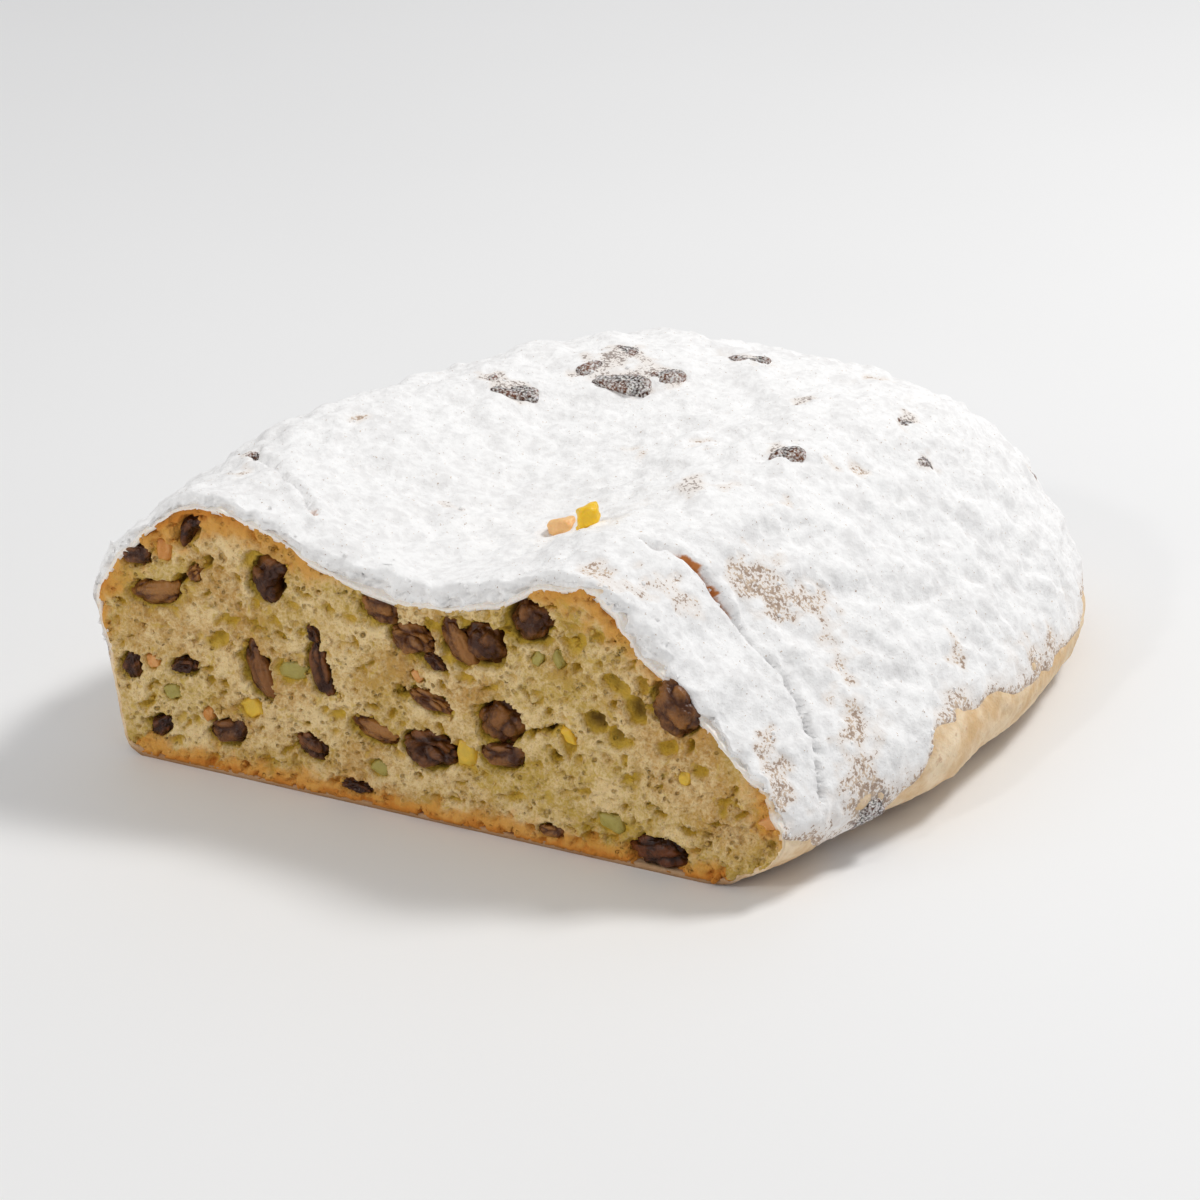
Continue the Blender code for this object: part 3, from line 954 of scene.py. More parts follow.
# %% The end of a wire
class Wire:
    """A value, a colour or a shape on its way from one node to the next."""

    def __init__(self, tree, socket=None):
        self.tree, self.socket = tree, socket

    def node(self, kind, settings=(), sockets=(), output=0):
        """Adds a node, makes its settings, fills its sockets, and returns one of its outputs."""
        made = self.tree.nodes.new(kind)
        for name, value in dict(settings).items():
            setattr(made, name, value)
        for name, value in dict(sockets).items():
            if isinstance(value, Wire):
                self.tree.links.new(value.socket, made.inputs[name])
            else:
                made.inputs[name].default_value = value
        return Wire(self.tree, made.outputs[output] if made.outputs else None)

    def sum(self, operation, *values):
        """A Math node that works on these values."""
        return self.node("ShaderNodeMath", {"operation": operation}, enumerate(values))

    def __add__(self, other):
        return self.sum("ADD", self, other)

    def __sub__(self, other):
        return self.sum("SUBTRACT", self, other)

    def __rsub__(self, other):
        return self.sum("SUBTRACT", other, self)

    def __mul__(self, other):
        return self.sum("MULTIPLY", self, other)

    def __truediv__(self, other):
        return self.sum("DIVIDE", self, other)

    def __pow__(self, other):
        return self.sum("POWER", self, other)

    __radd__, __rmul__ = __add__, __mul__

    def ramp(self, start, end):
        """0 up to start, 1 from end on, with a soft ramp between them."""
        return self.node(
            "ShaderNodeMapRange", {"interpolation_type": "SMOOTHSTEP"},
            {"Value": self, "From Min": start, "From Max": end},
        )

    def mix(self, first, second):
        """Goes from the first colour to the second as this value goes from 0 to 1."""
        first, second = ((*c, 1) if isinstance(c, tuple) else c for c in (first, second))
        sockets = {0: self, 6: first, 7: second}  # by number, as its sockets share their names
        return self.node("ShaderNodeMix", {"data_type": "RGBA"}, sockets, output=2)


print("a wire knows:", [name for name in vars(Wire) if "__" not in name])

# %% [markdown]
# ## Shapes of fruit
#
# A raisin is a grape that has lost its water and kept its skin, so the skin lies in folds: rounded
# backs with sharp creases between them, running along the fruit. Noise with its sign taken off has
# exactly that profile. Peel is cut into dice before it is candied, so a bit of peel is a ball pushed
# towards a cube, with soft edges. A few of each are enough, as each copy is sized and turned anew.

# %% Balls made into raisins, dice of peel, crumbs and grains
def ball(fineness):
    """Points and faces of a ball of radius 1, made of even triangles."""
    made = bmesh.new()
    bmesh.ops.create_icosphere(made, subdivisions=fineness, radius=1.0)
    points = np.array([tuple(vertex.co) for vertex in made.verts])
    faces = [tuple(vertex.index for vertex in face.verts) for face in made.faces]
    made.free()
    return points, faces


def raisin(kind, seed, fineness):
    """Points and faces of a raisin as long as it is wide, and how high its skin lies at each point."""
    points, faces = ball(fineness)

    def bent(points):
        if kind != CURLED:
            return points
        angle, out = 1.8 * points[:, 0], 0.95 + 0.62 * points[:, 2]
        return np.stack([out * np.sin(angle), 0.62 * points[:, 1], out * np.cos(angle)], axis=1)

    places = bent(points) * [0.8, 1, 1]
    creases = np.abs(ripples(places, 0.80, shift=seed)) ** 0.65
    fine_creases = np.abs(ripples(places, 0.36, shift=seed + 1.5)) ** 0.8
    radius = 0.72 + 0.26 * creases + 0.14 * fine_creases + 0.20 * ripples(places, 1.1, shift=seed + 0.5)
    points = points * radius[:, None]
    if kind == LONG:
        points[:, 0] = np.sign(points[:, 0]) * np.abs(points[:, 0]) ** 0.72
        points[:, 1:] *= 1 + 0.14 * points[:, :1]
    if kind == FLAT:
        hollow = np.exp(-(points[:, 0] / 0.5) ** 2 - ((points[:, 2] - 0.1) / 0.36) ** 2)
        points[:, 1] += 0.50 * hollow * (points[:, 1] < 0)
    return bent(points), faces, creases


def die(seed):
    """Points and faces of a bit of peel, cut square and softened by sugar."""
    points, faces = ball(4)
    points = np.sign(points) * np.abs(points) ** 0.55
    points = points * (1 + 0.15 * ripples(points, 0.9, times=2, shift=seed))[:, None]
    points[:, 0] += 0.25 * points[:, 2] * math.sin(seed)
    return points, faces


def lump(seed):
    """Points and faces of a crumb or a grain, for hundreds of copies."""
    points, faces = ball(2)
    return points * (1 + 0.55 * ripples(points, 0.9, times=2, shift=seed))[:, None], faces


def shape_box(name, shapes):
    """A hidden collection with one object, a single unit long, for each shape."""
    box = bpy.data.collections.new(name)
    for number, (points, faces, *ridges) in enumerate(shapes):
        low, high = points.min(axis=0), points.max(axis=0)
        points = (points - (low + high) / 2) / (high - low)
        mesh = bpy.data.meshes.new(f"{name}_{number:02d}")
        mesh.from_pydata(points.tolist(), [], faces)
        for heights in ridges:
            note(mesh, "ridge", heights)
        mesh.shade_smooth()
        box.objects.link(bpy.data.objects.new(mesh.name, mesh))
    return box


# Two raisins of each kind, as fine ones for the cut and then again as plainer ones for the top
FINE, PLAIN = 5, 4
raisin_box = shape_box("raisin_shapes", [
    raisin(kind, 3.1 * number + 1, fineness)
    for fineness in (FINE, PLAIN) for number, kind in enumerate([ROUND, LONG, CURLED, FLAT] * 2)
])
PEEL_SHAPES, LUMP_SHAPES = 4, 4
peel_box = shape_box("peel_shapes", [die(2.3 * number + 1) for number in range(PEEL_SHAPES)])
lump_box = shape_box("lump_shapes", [lump(1.7 * number + 1) for number in range(LUMP_SHAPES)])

# %% [markdown]
# ## Two trees of geometry nodes
#
# Fruit has its place in a list, while crumbs and grains only have places where they are likely, so
# there are two trees. The first puts a chosen shape on each point of a mesh, with the size and turn
# that the point carries. The second sprinkles points over a surface, thickest where the surface says
# so, and puts a small random lump on each. Both end by making real faces of all their copies.

# %% What both trees need
def new_tree(name, inputs):
    """An empty tree that takes a shape and the named inputs, and gives a shape."""
    tree = bpy.data.node_groups.new(name, "GeometryNodeTree")
    for label, kind in [("Geometry", "Geometry"), *inputs]:
        tree.interface.new_socket(label, in_out="INPUT", socket_type="NodeSocket" + kind)
    tree.interface.new_socket("Geometry", in_out="OUTPUT", socket_type="NodeSocketGeometry")
    return tree


def taken(start, name):
    """One of a tree's named inputs."""
    return start.node("NodeGroupInput", output=name)


def carried(start, name, kind):
    """A number or vector that each point carries."""
    return start.node("GeometryNodeInputNamedAttribute", {"data_type": kind}, {"Name": name})


def finished(start, points, number, turn, size):
    """Puts a shape on each point, makes real faces of them all and gives them their finish."""
    shapes = start.node(
        "GeometryNodeCollectionInfo", (),
        {"Collection": taken(start, "Shapes"), "Separate Children": True, "Reset Children": True},
    )
    placed = start.node(
        "GeometryNodeInstanceOnPoints", (),
        {"Points": points, "Instance": shapes, "Pick Instance": True, "Instance Index": number,
         "Rotation": turn, "Scale": size},
    )
    real = start.node("GeometryNodeRealizeInstances", (), {"Geometry": placed})
    painted = start.node(
        "GeometryNodeSetMaterial", (), {"Geometry": real, "Material": taken(start, "Finish")}
    )
    start.node("NodeGroupOutput", (), {"Geometry": painted})


# %% The two trees
FULL_TURN = 6.28


def random_value(start, kind, sockets, output):
    """A random number or vector of its own for each point."""
    return start.node("FunctionNodeRandomValue", {"data_type": kind}, sockets, output)


def sprinkle_tree():
    """Small random lumps all over a surface, most where a stored number is high."""
    tree = new_tree("sprinkle", [
        ("Shapes", "Collection"), ("Finish", "Material"), ("Where", "String"),
        ("Per square metre", "Float"), ("Smallest", "Float"), ("Largest", "Float"), ("Seed", "Int"),
    ])
    start = Wire(tree)
    where = carried(start, taken(start, "Where"), "FLOAT")
    points = start.node(
        "GeometryNodeDistributePointsOnFaces", {"distribute_method": "RANDOM"},
        {"Mesh": taken(start, "Geometry"), "Density": where * taken(start, "Per square metre"),
         "Seed": taken(start, "Seed")},
    )
    share = random_value(start, "FLOAT", {"Seed": taken(start, "Seed")}, output=1)
    smallest = taken(start, "Smallest")
    size = smallest + (taken(start, "Largest") - smallest) * share ** 3  # mostly small ones
    number = random_value(start, "INT", {4: 0, 5: LUMP_SHAPES - 1, "Seed": 7}, output=2)
    turn = random_value(start, "FLOAT_VECTOR", {1: (FULL_TURN,) * 3, "Seed": 9}, output=0)
    finished(start, points, number, turn, size)
    return tree


def seated_tree():
    """One chosen shape on each point, with the size and turn that the point carries."""
    tree = new_tree("seated", [("Shapes", "Collection"), ("Finish", "Material")])
    start = Wire(tree)
    number = carried(start, "kind", "INT")
    turn = carried(start, "turn", "FLOAT_VECTOR")
    size = carried(start, "size", "FLOAT_VECTOR")
    finished(start, taken(start, "Geometry"), number, turn, size)
    return tree


# %% The helper that runs them
def grown(name, source, tree, **inputs):
    """Runs a tree on an object and returns the result as a plain piece of its own."""
    modifier = source.modifiers.new(name, "NODES")
    modifier.node_group = tree
    for item in tree.interface.items_tree:
        label = item.name.replace(" ", "_").lower()
        if item.in_out == "INPUT" and label in inputs:
            modifier[item.identifier] = inputs[label]
    scene_now = bpy.context.evaluated_depsgraph_get()
    mesh = bpy.data.meshes.new_from_object(source.evaluated_get(scene_now), depsgraph=scene_now)
    source.modifiers.remove(modifier)
    mesh.name = name
    piece = bpy.data.objects.new(name, mesh)
    bpy.context.scene.collection.objects.link(piece)
    return piece


SPRINKLE, SEATED = sprinkle_tree(), seated_tree()
print("trees:", SPRINKLE.name, len(SPRINKLE.nodes), "nodes,", SEATED.name, len(SEATED.nodes), "nodes")

# %% [markdown]
# ## Finishes
#
# A finish starts from Blender's Principled shader. What is the same all over, such as how far light
# creeps through crumb, is set on the shader itself, and only what varies is wired. All patterns are
# laid out in the object's own space, where one unit is a metre, so the size of a grain can be given in
# millimetres. Fine relief, under a quarter of a millimetre, is left to bump.

# %% Helpers for finishes
class Finish:
    """A material in the making: its shader, the place on the object, and grains of any size."""

    def __init__(self, name, **same_all_over):
        self.material = bpy.data.materials.new(name)
        self.material.use_nodes = True
        tree = self.material.node_tree
        self.start = Wire(tree)
        self.shader = tree.nodes["Principled BSDF"]
        for socket, value in same_all_over.items():
            self.shader.inputs[socket.replace("_", " ")].default_value = value
        self.place = self.start.node("ShaderNodeTexCoord", output="Object")

    def grain(self, size, detail=2.0, rough=0.5, warp=0.0):
        """Noise from 0 to 1 with grains of a size in mm."""
        sockets = {"Vector": self.place, "Scale": 1 / (size * MM), "Detail": detail, "Roughness": rough,
                   "Distortion": warp}
        return self.start.node("ShaderNodeTexNoise", {"noise_dimensions": "3D"}, sockets)

    def cells(self, size):
        """Distance from scattered points, about a size in mm apart."""
        sockets = {"Vector": self.place, "Scale": 1 / (size * MM)}
        return self.start.node("ShaderNodeTexVoronoi", {"feature": "F1"}, sockets)

    def noted(self, name):
        """A number that was stored on the mesh."""
        return self.start.node("ShaderNodeAttribute", {"attribute_name": name}, output="Fac")

    def relief(self, *layers):
        """Bump, from pairs of a pattern and its height in mm, the broadest first."""
        normal = None
        for pattern, height in layers:
            sockets = {"Height": pattern, "Distance": abs(height) * MM, "Strength": 1.0}
            if normal:
                sockets["Normal"] = normal
            normal = self.start.node("ShaderNodeBump", {"invert": height < 0}, sockets)
        self.wire("Normal", normal)

    def wire(self, socket, value):
        """Lets a value that varies decide one of the shader's sockets."""
        self.material.node_tree.links.new(value.socket, self.shader.inputs[socket])

    def light_creeps(self, *distances):
        """How far red, green and blue light creep through the stuff, in mm."""
        self.shader.inputs["Subsurface Radius"].default_value = [far * MM for far in distances]


WHITE = (0.965, 0.96, 0.955)
SHADED_WHITE = (0.85, 0.84, 0.835)
THIN_WHITE = (0.86, 0.80, 0.75)
print("one grain of 0.5 mm is a noise scale of", 1 / (0.5 * MM))

# %% [markdown]
# ** Icing sugar** is brighter than anything else here and quite matt. What keeps it from looking like
# plaster is its fine grain, patches of painted shade in a faint grey, and the spots where it is a dust
# rather than a layer. There, speckles of what lies beneath show between its grains: tan over crust,
# dark grey over raisins. In an open crack the sheet has slid clean off, and leaves the crust bare. The
# coat noted its thickness, the fruit beneath it and its cracks for exactly this.

# %% Sugar, as a coat that can be thin and as loose grains that can't
CRUST_BENEATH, PALE_CRUST_BENEATH = (0.27, 0.145, 0.07), (0.58, 0.41, 0.26)
RAISIN_BENEATH = (0.20, 0.145, 0.12)
BARE_CRACK = (0.56, 0.22, 0.07)


def sugar_finish(name, can_be_thin):
    """The sugar's finish. If it can be thin, it reads what the coat has noted."""
    sugar = Finish(name, Roughness=0.92, Specular_IOR_Level=0.18)
    fine, middling, broad = sugar.grain(0.6, 2, 0.6), sugar.grain(1.6, 3), sugar.grain(7.0, 2)
    # Painted shade: a shaded copy of the white, mixed in over random patches
    colour = (0.6 * middling + 0.4 * broad).ramp(0.36, 0.60).mix(SHADED_WHITE, WHITE)
    if can_be_thin:
        thickness = sugar.noted("sugar") + 0.9 * (middling - 0.5)
        colour = thickness.ramp(0.20, 1.5).mix(THIN_WHITE, colour)
        between_grains = 0.66 - 0.27 * (1 - thickness.ramp(0.10, 1.05))
        specks = (fine - between_grains).ramp(0.0, 0.09) * 0.75
        skin_beneath = middling.ramp(0.40, 0.60).mix(CRUST_BENEATH, PALE_CRUST_BENEATH)
        beneath = sugar.noted("fruit").ramp(0.2, 0.6).mix(skin_beneath, RAISIN_BENEATH)
        colour = specks.mix(colour, beneath)
        bare = (sugar.noted("open_crack") + 0.3 * (fine - 0.5)).ramp(0.25, 0.7)
        colour = bare.mix(colour, BARE_CRACK)
    sugar.wire("Base Color", colour)
    sugar.relief((middling, 0.28), (fine, 0.16))
    return sugar.material


COAT_SUGAR = sugar_finish("icing_sugar_coat", True)
LOOSE_SUGAR = sugar_finish("icing_sugar_grains", False)
print("sugar has", len(COAT_SUGAR.node_tree.nodes), "nodes")

# %% [markdown]
# **Crust** bakes to a pale tan on the sides, with darker freckles where butter pooled, and turns brown
# on the base and where a crack laid it open in the oven. Sugar dust clings to it wherever some of the
# coat is left above it.

# %% Crust
TAN, PALE_TAN = (0.70, 0.47, 0.245), (0.90, 0.73, 0.51)
FRECKLE, BASE_BROWN, CRACK_BROWN = (0.46, 0.20, 0.065), (0.33, 0.155, 0.055), (0.52, 0.19, 0.05)


def crust_finish():
    baked = Finish("baked_crust", Roughness=0.62, Specular_IOR_Level=0.35, Subsurface_Weight=0.08)
    baked.light_creeps(3.0, 1.5, 0.7)
    broad, middling, fine = baked.grain(9, 2), baked.grain(2.2, 3, 0.6), baked.grain(0.5, 2)
    side = (0.6 * broad + 0.4 * middling).ramp(0.34, 0.66).mix(TAN, PALE_TAN)
    freckled = (middling.ramp(0.60, 0.74) * 0.55).mix(side, FRECKLE)
    height = baked.start.node("ShaderNodeSeparateXYZ", (), {0: baked.place}, output="Z")
    low = 1 - (height / MM + 2.4 * (middling - 0.5)).ramp(0.4, 4.0)
    brown = (low * 0.8).mix(freckled, BASE_BROWN)
    brown = ((0 - baked.noted("sugar")).ramp(1.2, 2.6) * 0.9).mix(brown, CRACK_BROWN)
    dust = (baked.noted("sugar") - 1.2 * (1 - middling)).ramp(-0.45, 0.5) * (0.35 + 0.9 * fine)
    baked.wire("Base Color", (dust * 0.85).mix(brown, WHITE))
    baked.wire("Roughness", 0.55 + 0.25 * middling)
    baked.relief((middling, 0.35), (fine, 0.12))
    return baked.material


CRUST = crust_finish()
print("crust has", len(CRUST.node_tree.nodes), "nodes")

# %% [markdown]
# ** Crumb** is butter yellow, a little see-through, and never even: flour and egg give it paler and
# deeper clouds, its pores and holes get painted shade, olive yellow on their walls and nearly black
# deep down, and next to the crust it browns. Light that creeps a few millimetres through it softens
# every hole.

# %% Crumb
CLOUD, DULL_BETWEEN, YELLOW_BETWEEN = (0.82, 0.625, 0.33), (0.52, 0.295, 0.085), (0.52, 0.345, 0.075)
YOLK, PORE_SHADE, SPOT = (0.60, 0.40, 0.07), (0.36, 0.20, 0.035), (0.34, 0.18, 0.05)
HOLE_WALL_SHADE, DEEP_HOLE_SHADE = (0.57, 0.37, 0.035), (0.06, 0.022, 0.005)
GOLDEN, TOASTED, BURNT = (0.68, 0.33, 0.065), (0.60, 0.215, 0.030), (0.30, 0.135, 0.03)


def crumb_finish():
    soft = Finish("buttery_crumb", Roughness=0.8, Specular_IOR_Level=0.12, Subsurface_Weight=0.12)
    soft.light_creeps(2.6, 1.6, 0.7)
    broad, middling, fine = soft.grain(11, 2), soft.grain(2.0, 3, 0.65), soft.grain(0.6, 2, 0.6)
    cloud = (0.40 * broad + 0.28 * middling + 0.32 * fine).ramp(0.40, 0.59)
    yellower = soft.grain(28, 1).ramp(0.40, 0.60)
    crumb_colour = cloud.mix(yellower.mix(DULL_BETWEEN, YELLOW_BETWEEN), CLOUD)
    scattered = soft.grain(5.0, 2).ramp(0.44, 0.60)
    pores = (1 - soft.cells(1.7).ramp(0.08, 0.36)) * scattered
    yolk = soft.grain(2.4, 2, 0.6, 0.8).ramp(0.60, 0.68) * 0.55
    # Painted shade: small pores, which are only bump, drawn darker
    porous = (pores * 0.8).mix(yolk.mix(crumb_colour, YOLK), PORE_SHADE)
    spotted = (fine.ramp(0.58, 0.72) * 0.55).mix(porous, SPOT)
    # Painted shade by the depth of each dent: olive yellow on the walls of holes, nearly black deep
    # down
    hole = soft.noted("hole")
    hole_wall_shaded = (hole.ramp(0.3, 1.6) * 0.9).mix(spotted, HOLE_WALL_SHADE)
    deep = (hole.ramp(1.6, 3.2) * 0.9).mix(hole_wall_shaded, DEEP_HOLE_SHADE)
    browned = soft.noted("browned") + 0.4 * (middling - 0.5)
    golden = (browned.ramp(0.08, 0.45) * 0.9).mix(deep, GOLDEN)
    toasted = (browned.ramp(0.45, 0.95) * 0.9).mix(golden, TOASTED)
    burnt = (soft.noted("browned") + 0.4 * (fine - 0.5)).ramp(0.8, 1.3) * 0.7
    soft.wire("Base Color", burnt.mix(toasted, BURNT))
    soft.relief((middling, 0.45), (pores, -0.45), (fine, 0.28))
    return soft.material


CRUMB = crumb_finish()
print("crumb has", len(CRUMB.node_tree.nodes), "nodes")

# %% [markdown]
# ** Raisins** are brown on their ridges and nearly black in their creases, where the shade is painted,
# with amber where the skin is thin, and a cut or sticky one shines. **Peel** is clear and sticky, like
# stained jelly. Each raisin carries a tone of its own, from dark to golden, and a note of how much
# sugar dust it wears.

# %% Raisins and peel
def raisin_finish():
    """Painted shade in the creases, brown on the ridges, in each raisin's own tone, under some dust."""
    wrinkled = Finish("raisin_skin", Subsurface_Weight=0.10, Specular_IOR_Level=0.30)
    wrinkled.light_creeps(2.0, 0.7, 0.3)
    middling, fine = wrinkled.grain(2.4, 3, 0.6, 0.6), wrinkled.grain(0.5, 3)
    shade = wrinkled.noted("shade")
    # Painted shade: nearly black where the ridge height says crease, brown on the ridges
    dark = shade.mix((0.022, 0.005, 0.002), (0.11, 0.030, 0.005))
    light = shade.mix((0.145, 0.042, 0.012), (0.42, 0.19, 0.045))
    ridge = 0.60 * wrinkled.noted("ridge") + 0.80 * (middling - 0.5) + 0.35 * (fine - 0.5)
    colour = ridge.ramp(0.08, 0.62).mix(dark, light)
    dusty = (wrinkled.noted("dusted") - 0.85 * (1 - fine) - 0.2 * middling).ramp(-0.05, 0.25)
    wrinkled.wire("Base Color", (dusty * 0.9).mix(colour, (0.86, 0.84, 0.82)))
    wrinkled.wire("Roughness", 0.16 + 0.34 * middling + 0.4 * dusty)
    wrinkled.relief((middling, 0.45), (fine, 0.14))
    return wrinkled.material


def peel_finish(name, dull, clear):
    """Between a dull and a clear colour, as the bit's own shade says."""
    candied = Finish(name, Subsurface_Weight=0.35, Specular_IOR_Level=0.5)
    candied.light_creeps(3.0, 1.8, 0.8)
    middling, fine = candied.grain(1.6, 3), candied.grain(0.4, 2)
    bright = candied.noted("shade") * 0.75 + 0.25 * middling.ramp(0.36, 0.62)
    candied.wire("Base Color", bright.mix(dull, clear))
    candied.wire("Roughness", 0.28 + 0.3 * fine)
    candied.relief((middling, 0.25), (fine, 0.08))
    return candied.material


RAISIN_SKIN = raisin_finish()
PEELS = {
    LEMON: peel_finish("candied_lemon", (0.66, 0.44, 0.05), (1.0, 0.60, 0.015)),
    ORANGE: peel_finish("candied_orange", (0.58, 0.23, 0.035), (0.94, 0.58, 0.26)),
    GREEN: peel_finish("candied_citron", (0.36, 0.29, 0.06), (0.50, 0.43, 0.12)),
}
for piece, finish in ((coat, COAT_SUGAR), (crust, CRUST), (crumb, CRUMB)):
    piece.data.materials.append(finish)
print("finishes:", [material.name for material in bpy.data.materials])

# %% [markdown]
# ## Setting the fruit in
#
# Each row of the two lists becomes one point with a size and a turn. In the cut, a piece of fruit lies
# mostly in its socket and stands a little proud, as a knife tears round a raisin more than through it.
# On top, it stands on the skin of the loaf, turned so that its flat side follows the slope.

# %% One point for each piece of fruit, then the seated tree
FLATTENED = 0.84  # fruit at the surface is this much thinner from top to bottom than across


def seat_in_cut(x, z, length, thick, turn, proud):
    """Where a piece of fruit in the cut face sits, how big it is and how it is turned."""
    centre = np.array([x, (0.5 - proud) * thick, z])
    return centre, (length, thick, thick), Matrix.Rotation(-math.radians(turn), 3, "Y")


def seat_on_top(x, y, z, length, thick, turn, out):
    """The same for fruit at the surface: out says how far it reaches beyond the skin, in mm."""
    spot, up, _, _ = skin.find_nearest(Vector((x, y, z)))
    angle = math.radians(turn)
    across = up.cross(Vector((math.cos(angle), math.sin(angle), 0))).normalized()
    turned = Matrix((across.cross(up), across, up)).transposed()
    centre = np.array(spot) + np.array(up) * (out - FLATTENED / 2 * thick)
    return centre, (length, thick, FLATTENED * thick), turned


def planted(name, seats, shapes, finish):
    """A piece with one shape on each seat. A seat is (place, size, turn, kind, shade, dusted)."""
    places, sizes, turns, kinds, shades, dusts = zip(*seats)
    beds = to_mesh(name + "_seats", np.array(places), [], shade=shades, dusted=dusts)
    note(beds.data, "kind", kinds, "INT")
    note(beds.data, "turn", [tuple(turn.to_euler()) for turn in turns], "FLOAT_VECTOR", "vector")
    note(beds.data, "size", np.array(sizes) * MM, "FLOAT_VECTOR", "vector")
    piece = grown(name, beds, SEATED, shapes=shapes, finish=finish)
    bpy.data.objects.remove(beds)
    print(name + ":", len(piece.data.polygons), "faces")
    return piece


# %% Raisins
# Shade from dark (0) to golden (1), how far one stands proud of the cut, as a share of its
# thickness, and how much dust it wears
MOST_GOLDEN, PROUD, UNDUSTED = 0.75, 0.1, 0.0
TOP_SHADE, TOP_DUST = 0.05, 0.60
# Raisins with a way of their own: shade and proud, by their place along and up
OWN_WAY = {
    (18.4, 42.8): (1.0, 0.1), (119.6, 35.4): (0.5, 0.34), (68.9, 25.6): (0.7, 0.0),
    (56.3, 16.8): (0.75, 0.05), (74.2, 39.2): (0.6, 0.05), (69.8, 34.0): (0.3, 0.0),
    (89.6, 46.6): (0.35, 0.05), (115.9, 4.0): (0.0, 0.05), (17.0, 51.3): (0.1, -0.05),
}
TOP_SHAPES = (9, 11, 13, 8)  # plain long, flat, long and round ones
shade_chance = np.random.default_rng(8)
raisin_seats = []
for number, (x, z, length, thick, turn, kind) in enumerate(RAISINS_IN_CUT):
    usual = shade_chance.uniform(0.0, MOST_GOLDEN), PROUD
    shade, proud = OWN_WAY.get((x, z), usual)
    seat = seat_in_cut(x, z, length, thick, turn, proud)
    raisin_seats.append((*seat, kind + 4 * (number % 2), shade, UNDUSTED))
for number, row in enumerate(FRUIT_ON_TOP):
    shape = TOP_SHAPES[number % len(TOP_SHAPES)]
    raisin_seats.append((*seat_on_top(*row), shape, TOP_SHADE, TOP_DUST))
raisins = planted("raisins", raisin_seats, raisin_box, RAISIN_SKIN)

# %% Peel
PEEL_PROUD = -0.12  # below 0, so it lies a little behind the cut
peels = {}
for kind_of_peel, finish in PEELS.items():
    seats = []
    for number, row in enumerate(PEEL_IN_CUT[kind_of_peel]):
        shade = 0.15 * (number % 3)
        seats.append((*seat_in_cut(*row, PEEL_PROUD), number % PEEL_SHAPES, shade, UNDUSTED))
    for row in PEEL_ON_TOP[kind_of_peel]:
        seats.append((*seat_on_top(*row), len(seats) % PEEL_SHAPES, 1.0, UNDUSTED))
    peels[kind_of_peel] = planted(kind_of_peel, seats, peel_box, finish)

# %% [markdown]
# ## Crumbs and loose grains
#
# A knife pulls crumbs out of the cut, and sugar breaks at every edge of its sheet. Both are small
# lumps, thickest where the coat and the crumb have noted that things come loose.

# %% Sprinkle crumbs on the cut and grains on the coat
TORN_CORNER, LOW_EDGE = (134, 9), (70, 0)  # along and up
crumb_edges = eased(0.25, 0.9, dents) * (1 - eased(1.4, 2.2, dents))
crumbly = 0.12 + 0.5 * crumb_edges
crumbly = crumbly + 1.6 * near(face_points, TORN_CORNER, (9, 8))
crumbly = crumbly + 0.2 * near(face_points, LOW_EDGE, (70, 4))
crumbly = crumbly * eased(0.3, 1.2, from_edge)
note(crumb.data, "loose", np.concatenate([crumbly, fill]))
crumbs = grown(
    "loose_crumbs", crumb, SPRINKLE, shapes=lump_box, finish=CRUMB, where="loose",
    per_square_metre=240000.0, smallest=0.35 * MM, largest=1.5 * MM, seed=3,
)
grains = grown(
    "sugar_grains", coat, SPRINKLE, shapes=lump_box, finish=LOOSE_SUGAR, where="loose",
    per_square_metre=330000.0, smallest=0.25 * MM, largest=1.1 * MM, seed=4,
)
print("crumbs:", len(crumbs.data.polygons), "faces, grains:", len(grains.data.polygons), "faces")
for box in (raisin_box, peel_box, lump_box):
    for helper in list(box.objects):
        bpy.data.objects.remove(helper)
    bpy.data.collections.remove(box)

# %% [markdown]
# ## Where each piece belongs
#
# The loaf is one body, so every piece rides on it. Three of them stand in for the packed solid, which
# stays behind them for physics.

# %% Body and packed solid of each piece; the slot names in the list are not used
PIECES = [
    (coat, "icing_sugar"), (crust, "crust"), (crumb, "crumb"), (raisins, "raisin"), (crumbs, "crumb"),
    (grains, "icing_sugar"), (peels[LEMON], "lemon_peel"), (peels[ORANGE], "orange_peel"),
    (peels[GREEN], "green_peel"),
]
for piece, slot in PIECES:
    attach(piece, "root")
for piece in (coat, crust, crumb):
    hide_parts("loaf")
corner_counts = [len(face.vertices) for piece, _ in PIECES for face in piece.data.polygons]
print("pieces:", len(PIECES), "triangles:", sum(corner_counts) - 2 * len(corner_counts))

# %% [markdown]
# ## Light, floor and camera
#
# White sugar needs light that is bright enough to look white and slanted enough to draw its relief. A
# soft lamp high up, behind and to the right, does that. The pale room fills in the cut face, which
# would otherwise be in the lamp's shadow, a weak warm lamp in front lifts it a little more, and a small
# one beside it puts a glint on the fruit.

# %% Floor, lamps and room
def lamp(name, place, aim, size, power, colour):
    """A square soft lamp at a place in metres, aimed at a point."""
    light = bpy.data.lights.new(name, "AREA")
    light.size, light.energy, light.color = size, power, colour
    holder = bpy.data.objects.new(name, light)
    holder.location = place
    holder.rotation_euler = (Vector(aim) - Vector(place)).to_track_quat("-Z", "Y").to_euler()
    bpy.context.scene.collection.objects.link(holder)


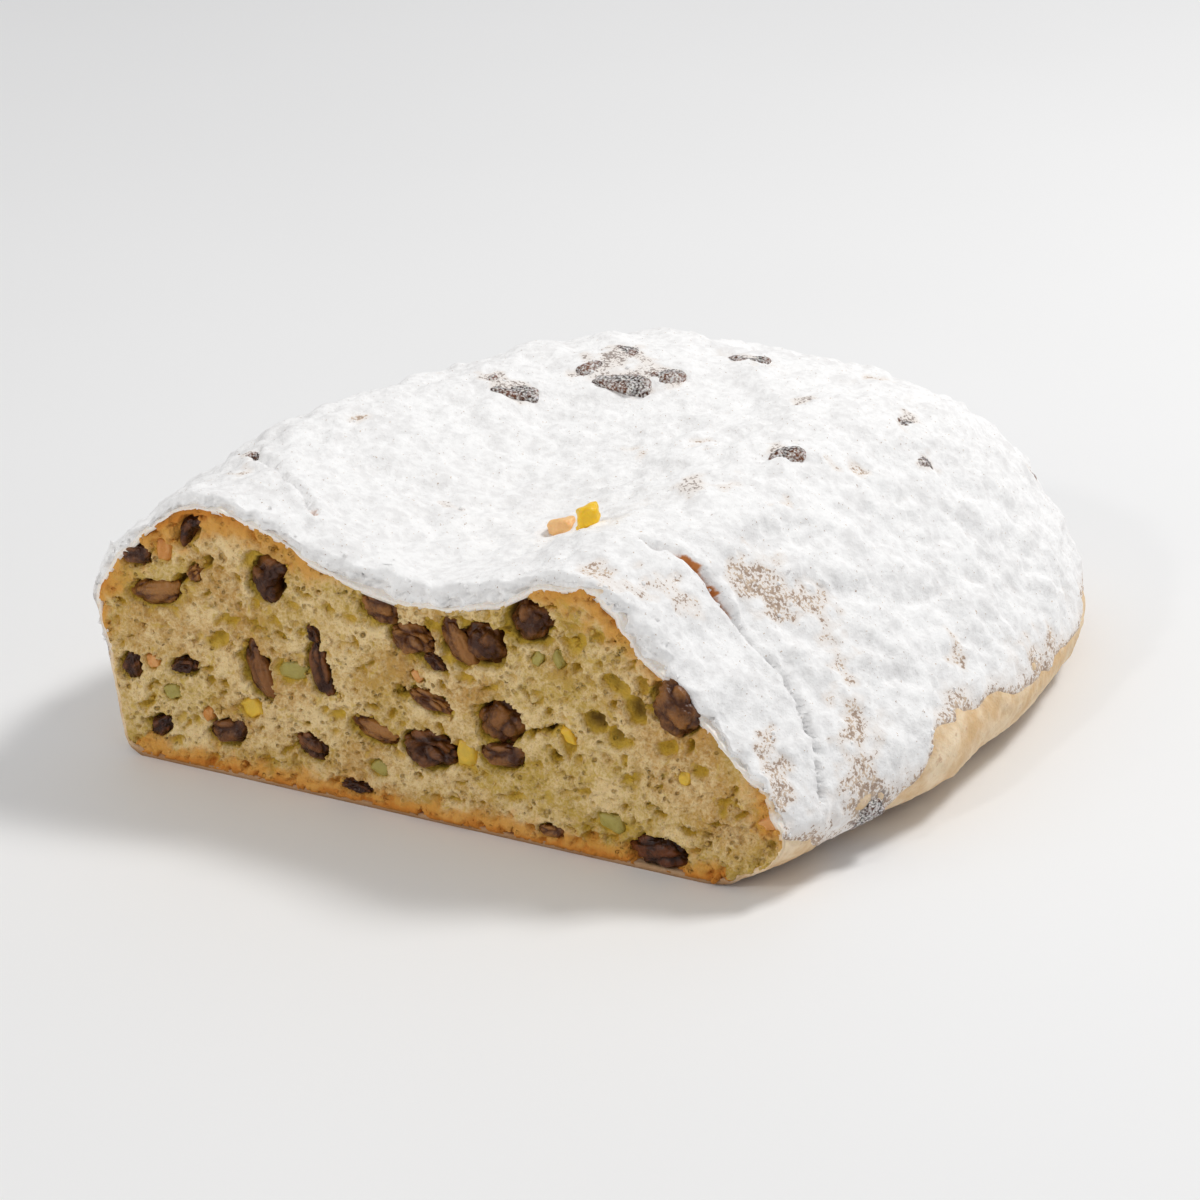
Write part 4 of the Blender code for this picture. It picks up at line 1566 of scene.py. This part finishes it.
FLOOR_HALF = 3.0  # metres
corners = [(FLOOR_HALF * x, FLOOR_HALF * y, 0) for x, y in ((-1, -1), (1, -1), (1, 1), (-1, 1))]
floor_mesh = bpy.data.meshes.new("floor")
floor_mesh.from_pydata(corners, [], [(0, 1, 2, 3)])
floor = bpy.data.objects.new("floor", floor_mesh)
bpy.context.scene.collection.objects.link(floor)
table = Finish("pale_table", Roughness=0.6)
clouded = table.grain(200, 2).ramp(0.2, 0.8)
table.wire("Base Color", clouded.mix((0.86, 0.86, 0.86), (0.88, 0.88, 0.88)))
floor_mesh.materials.append(table.material)

HALF_HEIGHT = (0, 0, 0.03)
lamp("window", (0.42, 0.46, 0.92), HALF_HEIGHT, 0.22, 6.5, (1.0, 0.99, 0.975))
lamp("fill", (-0.55, -0.95, 0.45), HALF_HEIGHT, 0.6, 1.6, (1.0, 0.97, 0.92))
lamp("spark", (-0.22, -0.72, 0.62), HALF_HEIGHT, 0.07, 0.9, (1.0, 0.98, 0.95))
room = bpy.data.worlds.new("room")
room.use_nodes = True
walls = room.node_tree.nodes["Background"].inputs
walls["Color"].default_value = (0.97, 0.98, 1.0, 1)
walls["Strength"].default_value = 0.48
bpy.context.scene.world = room
bpy.context.scene.view_settings.view_transform = "Standard"

print("lamps:", [light.name for light in bpy.data.lights])

# %% Camera
EYE_LEVEL, HEADING = math.radians(27.5), math.radians(33)  # above the table, and off the cut's front
DISTANCE = 0.75  # metres from the cut's left foot
AIM = Vector((-0.008, -0.005, 0.016))
eye = bpy.data.cameras.new("eye")
eye.lens = 112
camera = bpy.data.objects.new("eye", eye)
level, rise = math.cos(EYE_LEVEL), math.sin(EYE_LEVEL)
way = Vector((level * math.sin(HEADING), -level * math.cos(HEADING), rise))
camera.location = Vector(FOOT) * MM + DISTANCE * way
camera.rotation_euler = (AIM - camera.location).to_track_quat("-Z", "Y").to_euler()
eye.clip_start = 0.01
bpy.context.scene.collection.objects.link(camera)
bpy.context.scene.camera = camera
print("camera at", [round(float(part), 3) for part in camera.location])

# %% [markdown]
# ## The size of the pieces
#
# The pieces may stand a little proud of the packed solid, but not by much.
